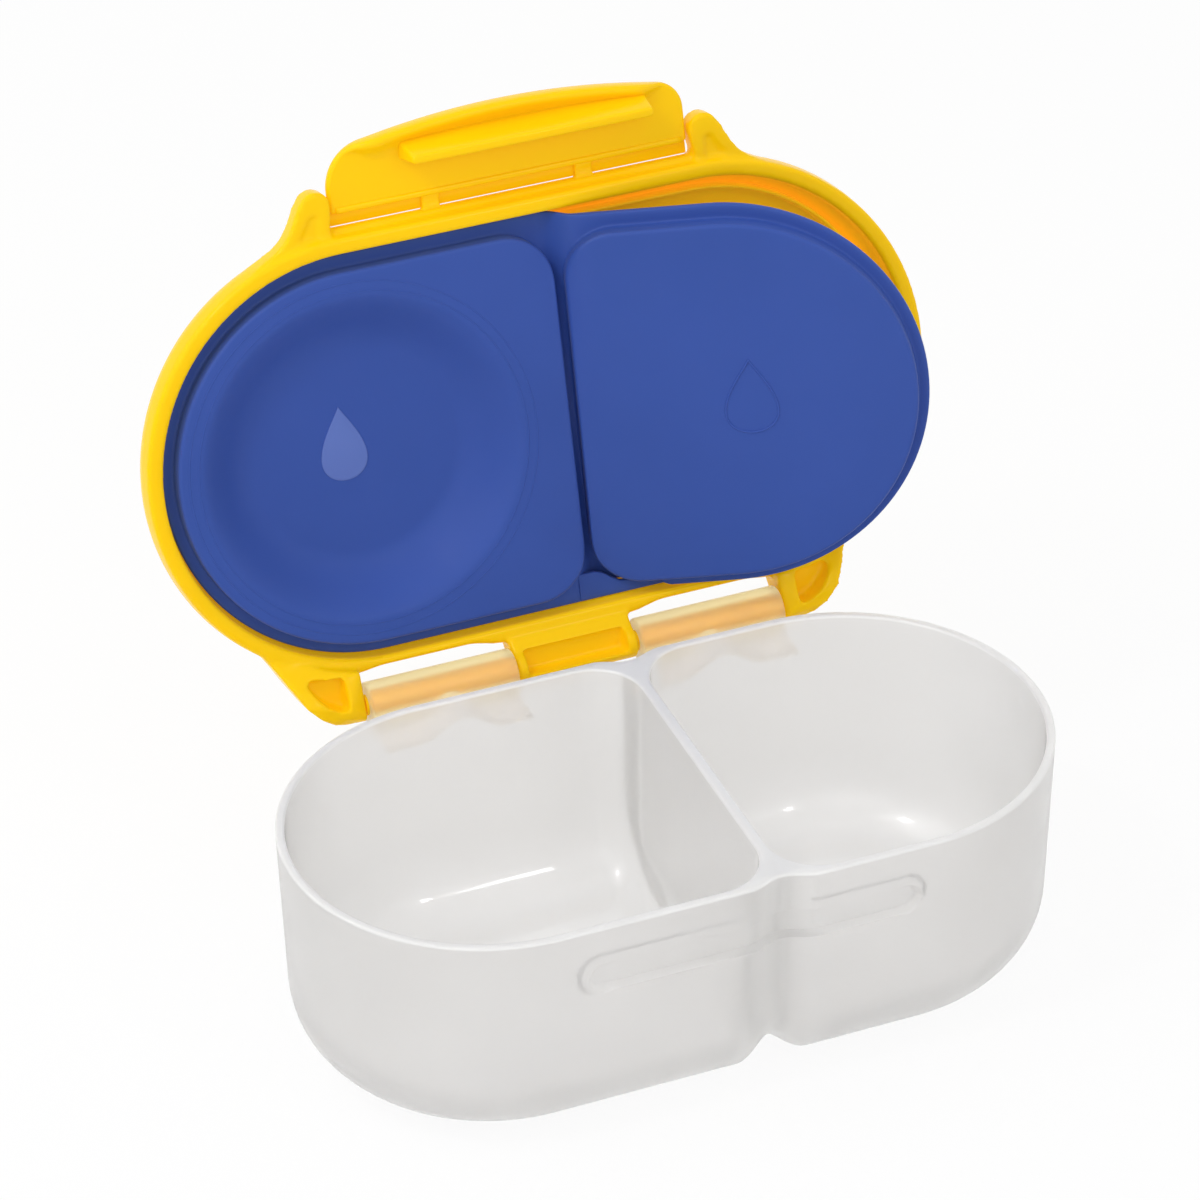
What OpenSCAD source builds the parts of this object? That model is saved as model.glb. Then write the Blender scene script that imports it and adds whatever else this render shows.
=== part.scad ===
// Two-compartment snack box: frosted tub, hinged lid with a snap latch, and a soft seal
// whose flat side is peeled out of the open lid. X runs along the length, Y points to the
// hinge, Z up. The origin lies on the flat underside of the tub. Lid parts are drawn closed
// and swung open about the hinge axis by opened().

/* [Tub] */
// Length of the tub at its rim
tub_length = 176; // [150:1:210]
// Width of the tub at its rim
tub_width = 90.7; // [80:0.1:110]
// Height of the rim above the table
tub_height = 57; // [50:1:75]
// Thickness of the side wall
tub_wall = 2; // [1.5:0.1:2.6]
// Thickness of the floor
tub_floor = 2.6; // [1.8:0.1:4]
// How much each side leans in from rim to table
tub_draft = 1.5; // [0.5:0.1:3]
// Outer radius between wall and table
tub_fillet = 18; // [12:0.5:20]

/* [Divider] */
// Middle of the dividing wall, from the middle of the tub
divider_x = 7.9; // [-20:0.1:20]
// Thickness of the dividing wall
divider_wall = 2.6; // [1.6:0.1:3.4]
// Radius of the compartment corners beside the dividing wall
corner_radius = 12; // [8:0.5:16]
// Depth of the upright groove in the outer walls at the dividing wall
groove_depth = 2.3; // [1:0.1:3]
// Radius of the hollow of that groove
groove_radius = 7.7; // [6:0.1:9]
// Depth of the channel under the floor at the dividing wall
channel_depth = 4; // [2:0.1:5]

/* [Catch] */
// Height of the catch recess in the front wall
catch_height = 7.8; // [7:0.1:9]
// Length of the catch recess
catch_length = 77; // [66:1:86]
// Depth of the catch recess
catch_depth = 1.8; // [1.5:0.1:2.2]
// Middle of the catch recess, from the middle of the tub
catch_x = 1.3; // [-4:0.1:4]
// Middle of the catch recess below the rim
catch_drop = 13.6; // [13.2:0.1:14]

/* [Hinge] */
// Distance of the hinge axis behind the tub's back wall
hinge_setback = 10.75; // [10.2:0.05:12]
// Distance of the hinge axis below the rim
hinge_drop = 5.1; // [4.5:0.1:6]
// Outer diameter of the two hinge barrels
barrel_diameter = 10.2; // [9.4:0.1:11]
// Length of each hinge barrel
barrel_length = 35; // [28:0.5:40]
// Middle of each barrel, from the middle of the tub
barrel_x = 32.5; // [30:0.5:36]
// Diameter of the hinge pins
pin_diameter = 4.8; // [4:0.1:5.4]
// Radial clearance of the pins in the barrels
pin_clearance = 0.08; // [0.05:0.01:0.1]
// Side clearance between barrels and lid
hinge_side_gap = 0.5; // [0.35:0.05:1]
// Radius of the lid's arms round the hinge axis
arm_radius = 3.6; // [3.4:0.1:4.4]
// Thickness of the bracket plates that carry the barrels
bracket_wall = 2.2; // [1.6:0.1:3]
// How far the lid is swung open
open_angle = 105.4; // [60:0.1:120]

/* [Lid] */
// Clearance between tub rim and lid wall at the ends
lid_end_gap = 1; // [0.8:0.1:3]
// Clearance between tub rim and lid wall at front and back, on average
lid_side_gap = 1.75; // [1.5:0.05:2.5]
// Shift of the lid wall along the length
lid_shift_x = 0.4; // [-0.4:0.1:0.4]
// Thickness of the lid's side wall at its lower edge
lid_wall = 3.3; // [2.6:0.1:3.8]
// Thickness of the lid's top
lid_top_wall = 2; // [1.6:0.1:3]
// How far the lid reaches down past the rim
lid_skirt = 2.3; // [1.5:0.1:3]
// Height of the lid's outside top above the rim
lid_rise = 9.2; // [9:0.1:12]
// Radius of the lid's outer top edge
lid_round = 10; // [6:0.5:11]
// Distance from the lid wall to the rib that the seal seats on
rib_inset = 3.2; // [2.6:0.1:6]
// Thickness of that rib
rib_wall = 1.4; // [1:0.1:2]

/* [Hinge arms] */
// Length of each outer arm along the hinge axis
arm_length = 19; // [14:0.5:22]
// Radius of the arm's tip, seen from above
arm_tip_radius = 9; // [7:0.5:10]
// How much wider the arm is where it flows into the lid
arm_flare = 6.5; // [4:0.5:8]
// Wall left round the cored pockets of the arms
arm_wall = 2.4; // [1.8:0.1:3]

/* [Latch] */
// Length of the latch plate along the lid
latch_length = 84; // [80:1:88]
// Reach of the latch plate from the bend line
latch_reach = 19.5; // [18.5:0.5:24]
// Thickness of the latch plate
latch_wall = 2.2; // [1.8:0.1:3]
// Radius of the latch's crowned outer edge
latch_crown = 187; // [140:1:260]
// Corner radius of the latch plate
latch_corner = 8; // [4:0.5:9]
// Depth of the grip lip along the outer edge
lip_depth = 3; // [2:0.1:5]
// Distance of the bend line in front of the lid wall
bend_setback = 3.1; // [2.8:0.1:4]
// Width of the slots on either side of the bend line
slot_width = 3; // [2.6:0.1:3.4]
// Reach of the guards past the bend line, to the middle of their round tips
guard_reach = 4.6; // [3:0.1:6]
// Radius of the guards' tips
guard_tip_radius = 2.9; // [2:0.1:3.5]
// Width of the guards where they meet the lid
guard_width = 11.2; // [9:0.1:14]
// Widths of the left and right webs
web_width = 4; // [3:0.1:6]
// Place of the left web
web_left_x = -18.8; // [-24:0.1:-14]
// Place of the right web
web_right_x = 17.2; // [14:0.1:24]
// Thickness of the webs
web_wall = 1.2; // [0.8:0.1:1.6]
// Length of the hook bar
bar_length = 57; // [48:1:62]
// Middle of the hook bar, from the middle of the tub
bar_x = 1.5; // [-3:0.1:4]
// Thickness of the hook bar at its foot
bar_wall = 4; // [3:0.1:4.6]
// Thickness of the hook bar at its tip
bar_tip_wall = 1.3; // [1:0.1:3]
// How far the hook bar goes into the catch recess
bar_engagement = 0.5; // [0.4:0.1:1.2]

/* [Seal] */
// Thickness of the seal's sheet
seal_wall = 1.5; // [1:0.1:2]
// Clearance between seal and tub rim when closed
seal_seat_gap = 0.35; // [0.3:0.05:0.6]
// Clearance between seal edge and lid wall
seal_margin = 1; // [0.9:0.05:1.5]
// How far the pads reach into the tub
pad_depth = 4.3; // [3:0.1:6]
// Clearance between the pads and the tub wall
pad_gap = 1; // [0.8:0.05:2]
// Gap between the two pads, over the dividing wall
pad_split = 3.6; // [3.4:0.1:5]
// Radius of the round dish in the left pad
dish_radius = 37.5; // [30:0.5:38.5]
// Width of the dish's sloping side
dish_slope = 14; // [10:0.5:18]
// Depth of the dish
dish_depth = 8; // [3:0.5:8]
// How much the flat side's front edge is set back, so that the closed latch passes it
flap_setback = 1.6; // [0.6:0.1:2.4]
// Width of the flange corner that stays in the lid behind the peeled side
kept_width = 3.1; // [2.8:0.1:3.4]
// Length of that corner
kept_length = 13; // [12:0.5:16]
// How far the flat side is peeled out
peel_angle = 23.4; // [10:0.1:24]
// Turn of the peel line away from the divider's direction
peel_skew = 16; // [0:1:16]

/* [Hidden] */
$fn = 96;

// Tub
tub_half = tub_length / 2;
tub_r = tub_width / 2;
tub_lean = atan(tub_draft / tub_height);
foot_half = tub_r - tub_draft + tub_fillet * tan(tub_lean) - tub_fillet / cos(tub_lean);
cut = 5; // how far cutting bodies run past what they cut
root_depth = 8; // how far brackets and arms start inside the wall that they grow from

// Hinge
hinge_y = tub_r + hinge_setback;
hinge_z = tub_height - hinge_drop;
barrel_r = barrel_diameter / 2;
pin_r = pin_diameter / 2;
barrel_in = barrel_x - barrel_length / 2;
barrel_out = barrel_x + barrel_length / 2;
arm_in = barrel_out + hinge_side_gap;
block_half = barrel_in - hinge_side_gap;

// Lid
lid_edge_z = tub_height - lid_skirt;
lid_top_z = tub_height + lid_rise;
lid_in_half = tub_half + lid_end_gap;
lid_in_r = tub_r + lid_side_gap;
lid_out_half = lid_in_half + lid_wall;
lid_out_r = lid_in_r + lid_wall;
ceiling_z = lid_top_z - lid_top_wall;
ceiling_round = lid_round - 1.5;
edge_step = 0.4; // how far arms and gussets stay above the lid wall's lower edge
seam = 0.08; // hair gap between them and the lid's curved wall

// Latch
bend_y = -lid_out_r - bend_setback;
bend_z = tub_height + 0.7;
latch_z = bend_z - latch_wall / 2;
slot_in_y = bend_y + slot_width / 2;
slot_out_y = bend_y - slot_width / 2;
latch_half = latch_length / 2;
guard_gap = 1.2;
bar_tip_y = -tub_r + catch_drop * tan(tub_lean) + bar_engagement;
bar_height = bar_tip_y - bend_y - latch_wall / 2;
bar_near = bend_z - (tub_height - catch_drop) - catch_height / 2 + 0.6;

// Seal
seal_z = tub_height + seal_seat_gap;
seal_top_z = seal_z + seal_wall;
seal_half_length = lid_in_half - seal_margin;
seal_r = lid_in_r - seal_margin;
pad_r = tub_r - tub_wall - pad_gap;
pad_half = tub_half - tub_wall - pad_gap;
pad_z = seal_z - pad_depth;
dish_x = -(pad_half - pad_r) + lid_shift_x;
flat_sheet = seal_wall - 0.35;
fold_gap = 0.4;
peel_axis = [sin(peel_skew), cos(peel_skew), 0];

// ---------- shared shapes ----------

// Stadium outline: half length, end radius
module stadium(half, r) {
    for (side = [-1, 1]) translate([side * (half - r), 0]) circle(r);
    square([2 * (half - r), 2 * r], center = true);
}

// Sweeps a half section (x = distance from the spine, y = height) round a stadium
module sweep_stadium(half, r) {
    spine = half - r;
    for (side = [-1, 1]) translate([side * spine, 0, 0])
        rotate(-90 * side) rotate_extrude(angle = 180) children();
    rotate([90, 0, 90]) translate([0, 0, -spine]) linear_extrude(2 * spine) {
        children();
        mirror([1, 0]) children();
    }
}

// Half section of a cup with drafted wall and rounded foot, standing on z = 0
module cup_section(r, height, round_r, above = 0) {
    base_r = r - height * tan(tub_lean);
    arc_x = base_r + round_r * tan(tub_lean) - round_r / cos(tub_lean);
    polygon([[0, 0], [arc_x, 0],
        [arc_x + round_r * cos(tub_lean), round_r - round_r * sin(tub_lean)],
        [r + above * tan(tub_lean), height + above], [0, height + above]]);
    intersection() {
        translate([arc_x, round_r]) circle(round_r);
        square([r, 2 * round_r]);
    }
}

// Half section of a cap with upright wall and rounded top edge
module cap_section(r, low, high, round_r) {
    upright = high - round_r;
    polygon([[0, low], [r, low], [r, upright], [r - round_r, high], [0, high]]);
    intersection() {
        translate([r - round_r, upright]) circle(round_r);
        translate([r - round_r, upright]) square(round_r);
    }
}

// Moves a lid part from its closed place to the open one
module opened() {
    translate([0, hinge_y, hinge_z]) rotate([-open_angle, 0, 0])
        translate([0, -hinge_y, -hinge_z]) children();
}

// Draws a right-hand part, or its mirror image on the left
module on_side(side) {
    if (side > 0) children(); else mirror([1, 0, 0]) children();
}

// Extrudes an outline drawn in Y and Z along X
module along_x(from_x, to_x) {
    translate([from_x, 0, 0]) rotate([90, 0, 90]) linear_extrude(to_x - from_x) children();
}

module tub_outer() {
    sweep_stadium(tub_half, tub_r) cup_section(tub_r, tub_height, tub_fillet);
}

module tub_inner() {
    in_half = tub_half - tub_wall;
    in_r = tub_r - tub_wall;
    translate([0, 0, tub_floor]) sweep_stadium(in_half, in_r)
        cup_section(in_r, tub_height - tub_floor, tub_fillet - tub_wall, cut);
}

// Groove round the outside at the divider: up the front and back and under the floor
module divider_groove(grow) {
    hollow_r = groove_radius + grow;
    bend_r = tub_fillet + groove_radius - channel_depth;
    low_y = foot_half + bend_r;
    high_y = tub_r + groove_radius - groove_depth;
    lean = atan((high_y - low_y) / (tub_height - tub_fillet));
    translate([divider_x, 0, 0]) {
        translate([0, -foot_half, channel_depth - groove_radius]) rotate([-90, 0, 0])
            cylinder(r = hollow_r, h = 2 * foot_half);
        for (side = [0, 1]) mirror([0, side, 0]) {
            translate([0, foot_half, tub_fillet]) rotate([0, 90, 0])
                rotate_extrude(angle = 90) translate([bend_r, 0]) circle(hollow_r);
            translate([0, low_y, tub_fillet - 0.2]) rotate([-lean, 0, 0])
                cylinder(r = hollow_r, h = tub_height - tub_fillet + cut);
        }
    }
}

// Pill-shaped recess in the front wall that the hook bar snaps into
module catch_recess(grow) {
    face_y = -tub_r + catch_drop * tan(tub_lean) + catch_depth + grow;
    translate([catch_x, face_y, tub_height - catch_drop]) rotate([90, 0, 0])
        linear_extrude(tub_r + face_y + cut) stadium(catch_length / 2 + grow, catch_height / 2 + grow);
}

// Space inside the tub
module tub_cavity() {
    difference() {
        tub_inner();
        divider_groove(tub_wall);
        catch_recess(tub_wall);
    }
}

// ---------- tub ----------

module tub_shell() {
    color("whitesmoke", 0.7) difference() {
        tub_outer();
        tub_cavity();
        divider_groove(0);
        catch_recess(0);
    }
}

// Straight wall that flares into rounded compartment corners at the front and back
module divider_plan() {
    in_r = tub_r - tub_wall;
    flare = corner_radius + divider_wall / 2;
    square([divider_wall, 2 * tub_r], center = true);
    for (side = [-1, 1]) difference() {
        translate([0, side * (in_r - corner_radius / 2 + cut / 2)])
            square([2 * flare, corner_radius + cut], center = true);
        for (end = [-1, 1]) translate([end * flare, side * (in_r - corner_radius)])
            circle(corner_radius);
    }
}

module tub_divider() {
    color("whitesmoke", 0.7) intersection() {
        translate([divider_x, 0, 0]) linear_extrude(tub_height) divider_plan();
        tub_cavity();
    }
}

// Barrel for the hinge pin, carried by a plate and an arched rib on the back wall
module hinge_barrel(side) {
    low_z = hinge_z - barrel_r;
    rib_r = 7;
    root_y = tub_r - root_depth;
    color("whitesmoke", 0.7) on_side(side) difference() {
        union() {
            along_x(barrel_in, barrel_out) translate([hinge_y, hinge_z]) circle(barrel_r);
            translate([barrel_in, root_y, low_z])
                cube([barrel_length, hinge_y - root_y, bracket_wall]);
            difference() {
                translate([barrel_x, root_y, low_z]) rotate([-90, 0, 0]) difference() {
                    cylinder(r = rib_r, h = hinge_y - barrel_r / 2 - root_y);
                    translate([0, 0, -1]) cylinder(r = rib_r - bracket_wall, h = hinge_y);
                }
                translate([0, root_y - 1, low_z - 2 * rib_r]) cube([2 * barrel_x, hinge_y, 2 * rib_r]);
            }
        }
        along_x(barrel_in - 1, barrel_out + 1) translate([hinge_y, hinge_z])
            circle(pin_r + pin_clearance);
        tub_outer();
    }
}

// ---------- lid ----------

module lid_outer(grow = 0) {
    translate([lid_shift_x, 0, 0]) sweep_stadium(lid_out_half + grow, lid_out_r + grow)
        cap_section(lid_out_r + grow, lid_edge_z, lid_top_z + grow, lid_round + grow);
}

module lid_inner() {
    translate([lid_shift_x, 0, 0]) sweep_stadium(lid_in_half, lid_in_r)
        cap_section(lid_in_r, lid_edge_z - cut, ceiling_z, ceiling_round);
}

// Rib under the lid's top that the seal seats on, left out where the peeled side lifts into the lid
module seal_rib() {
    relief_lead = 6;
    relief_x = divider_x - relief_lead;
    relief_length = 26;
    out_r = lid_in_r - rib_inset;
    out_half = lid_in_half - rib_inset;
    difference() {
        translate([lid_shift_x, 0, seal_top_z]) linear_extrude(lid_top_z - lid_top_wall / 2 - seal_top_z)
            difference() {
                stadium(out_half, out_r);
                stadium(out_half - rib_wall, out_r - rib_wall);
            }
        translate([relief_x, out_r / 2, seal_top_z - 1]) cube([relief_length, out_r, ceiling_z - seal_top_z]);
    }
}

// Strip along the front that carries the latch, with a short root for each web
module latch_land() {
    land_wall = 3;
    low_z = bend_z - 1.6;
    root_gap = 0.3;
    translate([-latch_half - guard_gap, slot_in_y, low_z])
        cube([2 * (latch_half + guard_gap), -lid_out_r + lid_wall / 2 - slot_in_y, land_wall]);
    for (x = [web_left_x, web_right_x])
        translate([x - web_width / 2, bend_y + web_wall / 2 + root_gap, bend_z - web_wall / 2])
            cube([web_width, slot_width, web_wall]);
}

module lid_shell() {
    color("gold") opened() {
        difference() {
            lid_outer();
            lid_inner();
        }
        seal_rib();
        latch_land();
    }
}

// What carries the hinge pins: a round end, widening to the lid's wall
module arm_block(from_x, to_x) {
    root_y = lid_in_r + 1;
    low_z = lid_edge_z + edge_step;
    inner_r = arm_radius - 0.1;
    high_drop = 3;
    wall_drop = 4;
    along_x(from_x, to_x) translate([hinge_y, hinge_z]) circle(arm_radius);
    along_x(from_x, to_x)
        polygon([[hinge_y, hinge_z], [hinge_y - 0.5, hinge_z - inner_r], [root_y, low_z],
            [root_y - root_depth, low_z], [root_y - root_depth, lid_top_z - high_drop],
            [root_y, lid_top_z - wall_drop],
            [hinge_y + inner_r * 0.7, hinge_z + inner_r * 0.7]]);
}

// Plan of the right outer arm, sweeping out of the lid's round end
module arm_plan(inset) {
    tip_r = arm_tip_radius;
    tip_y = hinge_y + arm_radius;
    flare_depth = 14;
    intersection() {
        hull() {
            translate([arm_in + tip_r / 2, tip_y - tip_r]) circle(tip_r - inset);
            translate([arm_in + inset, lid_in_r - flare_depth])
                square([arm_length + arm_flare - 2 * inset, 1]);
        }
        translate([arm_in + inset, 0]) square(tub_length);
    }
}

// Cored pocket, open towards the tub
module arm_pocket(from_y) {
    translate([0, 0, hinge_z - 2 * arm_radius]) linear_extrude(2 * arm_radius + 1.2)
        intersection() {
            children();
            translate([-tub_half, from_y]) square([tub_length, hinge_y]);
        }
}

module hinge_arm(side) {
    color("gold") opened() difference() {
        on_side(side) difference() {
            intersection() {
                arm_block(arm_in, arm_in + arm_length + root_depth);
                linear_extrude(lid_top_z) arm_plan(0);
            }
            arm_pocket(lid_in_r) arm_plan(arm_wall);
        }
        lid_outer(seam);
    }
}

module hinge_centre_block() {
    pocket_half = block_half - arm_wall;
    pocket_y = lid_out_r + 1.5;
    color("gold") opened() difference() {
        arm_block(-block_half, block_half);
        arm_pocket(pocket_y) translate([-pocket_half, pocket_y])
            square([2 * pocket_half, hinge_y + arm_radius - arm_wall - pocket_y]);
        lid_outer(seam);
    }
}

module hinge_pin(side) {
    color("gold") opened() on_side(side)
        along_x(block_half, arm_in) translate([hinge_y, hinge_z]) circle(pin_r);
}

// Point where the line from a base point touches a round tip, seen from the tip's right
function touch_point(tip, r, base) =
    let (d = base - tip, turn = atan2(d[1], d[0]) - acos(r / norm(d)))
    tip + r * [cos(turn), sin(turn)];

// Outline that narrows from a straight root to a round tip; its left edge runs along Y
module tapered_plan(tip, tip_r, root_y, root_width) {
    left_x = tip[0] - tip_r;
    base = [left_x + root_width, root_y];
    translate(tip) circle(tip_r);
    polygon([[left_x, root_y], [left_x, tip[1]], tip, touch_point(tip, tip_r, base), base]);
}

// Gusset beside the latch
module latch_guard(side) {
    tip_r = guard_tip_radius;
    low_z = lid_edge_z + edge_step;
    in_x = latch_half + guard_gap;
    color("gold") opened() difference() {
        on_side(side) translate([0, 0, low_z]) linear_extrude(bend_z + 1.4 - low_z)
            tapered_plan([in_x + tip_r, bend_y - guard_reach], tip_r, -lid_in_r, guard_width);
        lid_outer(seam);
    }
}

// ---------- latch ----------

// Web whose round end lies on the bend line
module latch_web(x) {
    color("gold") opened() translate([x - web_width / 2, 0, 0]) {
        along_x(0, web_width) translate([bend_y, bend_z]) circle(web_wall / 2, $fn = 48);
        translate([0, slot_out_y, bend_z - web_wall / 2]) cube([web_width, slot_width / 2, web_wall]);
    }
}

// Plate outline with round corners and a crowned outer edge
module latch_plan(inset) {
    shoulder = latch_crown - sqrt(latch_crown * latch_crown - pow(latch_half - latch_corner, 2));
    top_y = bend_y - latch_reach;
    round_r = latch_corner;
    intersection() {
        translate([0, top_y + latch_crown]) circle(latch_crown - inset);
        union() {
            translate([-latch_half + inset, top_y + shoulder + round_r])
                square([latch_length - 2 * inset, slot_out_y - top_y - shoulder - round_r]);
            translate([-latch_half + round_r, top_y])
                square([latch_length - 2 * round_r, slot_out_y - top_y]);
            for (side = [-1, 1])
                translate([side * (latch_half - round_r), top_y + shoulder + round_r])
                    circle(round_r - inset);
        }
    }
}

module latch_plate() {
    lip_wall = 2.2;
    lip_y = bend_y - bar_near - bar_wall - 0.5;
    color("gold") opened() {
        translate([0, 0, latch_z]) linear_extrude(latch_wall) latch_plan(0);
        translate([0, 0, latch_z - lip_depth]) linear_extrude(lip_depth + latch_wall / 2) intersection() {
            difference() {
                latch_plan(0);
                latch_plan(lip_wall);
            }
            translate([-latch_half, lip_y - latch_reach]) square([latch_length, latch_reach]);
        }
    }
}

// Ramped bar: its side towards the bend catches, the other side leans in
module latch_hook_bar() {
    near_y = bend_y - bar_near;
    tip_y = near_y - 0.5;
    tip_z = latch_z - bar_height;
    color("gold") opened() along_x(bar_x - bar_length / 2, bar_x + bar_length / 2)
        polygon([[near_y, latch_z], [tip_y, tip_z], [tip_y - bar_tip_wall, tip_z],
            [near_y - bar_wall, latch_z]]);
}

// ---------- seal ----------

// Half of the plane on one side of the divider, starting at a distance from its middle
module half_plane(side, from) {
    on_plane = 2 * tub_length;
    translate([divider_x + side * (from + on_plane / 2), 0]) square(on_plane, center = true);
}

// Outline of a pad: the compartment's round end and its two rounded inner corners
module pad_plan(side, inset) {
    r = pad_r - inset;
    edge = pad_split / 2 + inset;
    corner = corner_radius - inset;
    difference() {
        intersection() {
            translate([lid_shift_x, 0]) stadium(pad_half - inset, r);
            half_plane(side, edge);
        }
        for (end = [-1, 1]) difference() {
            translate([divider_x + side * (edge + corner / 2 - 0.5), end * (r - corner / 2 + 0.5)])
                square([corner + 1, corner + 1], center = true);
            translate([divider_x + side * (edge + corner), end * (r - corner)]) circle(corner);
        }
    }
}

// Corner of the flange behind the fold, which stays down in the lid because the fold runs askew
module kept_flange(grow) {
    translate([divider_x - 2, seal_r - kept_width - grow])
        square([2 + fold_gap + kept_length + grow, kept_width + cut]);
}

// Thin-walled pad and the sheet round it, open at the back; its children are the sheet's plan
module seal_half(side, sheet) {
    difference() {
        union() {
            translate([0, 0, seal_z]) linear_extrude(sheet) intersection() {
                translate([lid_shift_x, 0]) stadium(seal_half_length, seal_r);
                children();
            }
            translate([0, 0, pad_z]) linear_extrude(pad_depth + sheet / 2) pad_plan(side, 0);
        }
        translate([0, 0, pad_z + seal_wall]) linear_extrude(pad_depth + cut) pad_plan(side, seal_wall);
    }
}

module seal_bowl_side() {
    flat_r = dish_radius - dish_slope;
    top_z = pad_z + dish_depth;
    color("royalblue") opened() {
        difference() {
            seal_half(-1, seal_wall) union() {
                half_plane(-1, fold_gap);
                kept_flange(0);
            }
            translate([dish_x, 0, pad_z - 1]) cylinder(r = dish_radius, h = cut);
        }
        translate([dish_x, 0, 0]) rotate_extrude() polygon([[0, top_z], [flat_r, top_z],
            [dish_radius, pad_z], [dish_radius + seal_wall, pad_z + seal_wall],
            [flat_r, top_z + seal_wall], [0, top_z + seal_wall]]);
    }
}

module seal_flat_side() {
    pivot = [divider_x, 0, seal_z + flat_sheet / 2];
    color("royalblue") opened() translate(pivot) rotate(a = peel_angle, v = peel_axis)
        translate(-pivot) seal_half(1, flat_sheet) difference() {
            half_plane(1, fold_gap);
            kept_flange(fold_gap);
            translate([0, -seal_r - cut]) square([tub_length, cut + flap_setback]);
        }
}

tub_shell();
tub_divider();
hinge_barrel(-1);  // hinge_barrel_left
hinge_barrel(1);  // hinge_barrel_right
lid_shell();
hinge_arm(-1);  // hinge_arm_left
hinge_arm(1);  // hinge_arm_right
hinge_centre_block();
hinge_pin(-1);  // hinge_pin_left
hinge_pin(1);  // hinge_pin_right
latch_guard(-1);  // latch_guard_left
latch_guard(1);  // latch_guard_right
latch_web(web_left_x);  // latch_web_left
latch_web(web_right_x);  // latch_web_right
seal_bowl_side();
seal_flat_side();
latch_plate();
latch_hook_bar();
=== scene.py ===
"""Looks of an oblong two-compartment snack box that stands open.

A frosted tub with a dividing wall, a yellow snap lid hinged at its back, and a dark blue
silicone seal whose right side is peeled out of the lid. All sizes below are in millimetres,
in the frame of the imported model; lid parts are drawn closed and then turned open.
"""

import logging
import math
from dataclasses import dataclass, replace
from enum import Enum
from typing import Callable, Iterable, Sequence

import bmesh
import bpy
import numpy as np
from bpy.types import ID, Material, Mesh, Node, NodeSocket, NodeTree, Object
from mathutils import Matrix, Vector
from mathutils.geometry import tessellate_polygon

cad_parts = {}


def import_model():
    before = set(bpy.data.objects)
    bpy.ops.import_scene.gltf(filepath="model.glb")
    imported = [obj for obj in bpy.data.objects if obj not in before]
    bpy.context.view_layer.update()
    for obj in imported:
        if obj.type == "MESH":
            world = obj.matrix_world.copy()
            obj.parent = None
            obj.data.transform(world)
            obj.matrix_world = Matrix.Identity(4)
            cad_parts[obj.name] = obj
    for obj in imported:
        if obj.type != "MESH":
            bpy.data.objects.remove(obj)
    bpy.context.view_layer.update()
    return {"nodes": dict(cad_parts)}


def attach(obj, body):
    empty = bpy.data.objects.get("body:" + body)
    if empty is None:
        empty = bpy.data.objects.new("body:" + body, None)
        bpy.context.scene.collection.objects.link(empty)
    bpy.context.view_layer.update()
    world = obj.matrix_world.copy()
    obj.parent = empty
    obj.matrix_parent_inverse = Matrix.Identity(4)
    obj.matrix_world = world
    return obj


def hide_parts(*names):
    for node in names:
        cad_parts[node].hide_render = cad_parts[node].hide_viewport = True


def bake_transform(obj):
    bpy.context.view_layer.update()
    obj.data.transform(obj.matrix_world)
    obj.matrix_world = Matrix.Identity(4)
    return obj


LOG = logging.getLogger("snack_box")
MM = 0.001

# Takes points in rows of three, in millimetres, to their place.
Place = Callable[[np.ndarray], np.ndarray]


class Body(Enum):
    """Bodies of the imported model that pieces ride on."""

    TUB = "tub"
    LID = "lid"
    LATCH = "latch"
    FLAP = "seal_flap"


class Slot(Enum):
    """Material slots."""

    TUB = "tub"
    LID = "lid"
    SEAL = "seal"


class Side(Enum):
    """Left and right of the dividing wall."""

    LEFT = -1
    RIGHT = 1


# ---------------------------------------------------------------- where things are


@dataclass(frozen=True)
class HingeLine:
    """The lid's hinge line and how far the lid stands open."""

    y: float = 56.1
    z: float = 51.9
    open_deg: float = 105.4

    def _turned(self, points: np.ndarray, way: int) -> np.ndarray:
        """Turns points, in rows of three, by the open angle: 1 opens and -1 closes."""
        cos = math.cos(math.radians(self.open_deg))
        sin = way * math.sin(math.radians(self.open_deg))
        out = np.array(points, float)
        y, z = out[:, 1] - self.y, out[:, 2] - self.z
        out[:, 1] = self.y + cos * y + sin * z
        out[:, 2] = self.z - sin * y + cos * z
        return out

    def opened(self, points: np.ndarray) -> np.ndarray:
        """Where the open lid holds points of the closed lid, in millimetres."""
        return self._turned(points, 1)

    def closed(self, points: np.ndarray) -> np.ndarray:
        """Where the closed lid holds points of the open lid, in millimetres."""
        return self._turned(points, -1)


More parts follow.
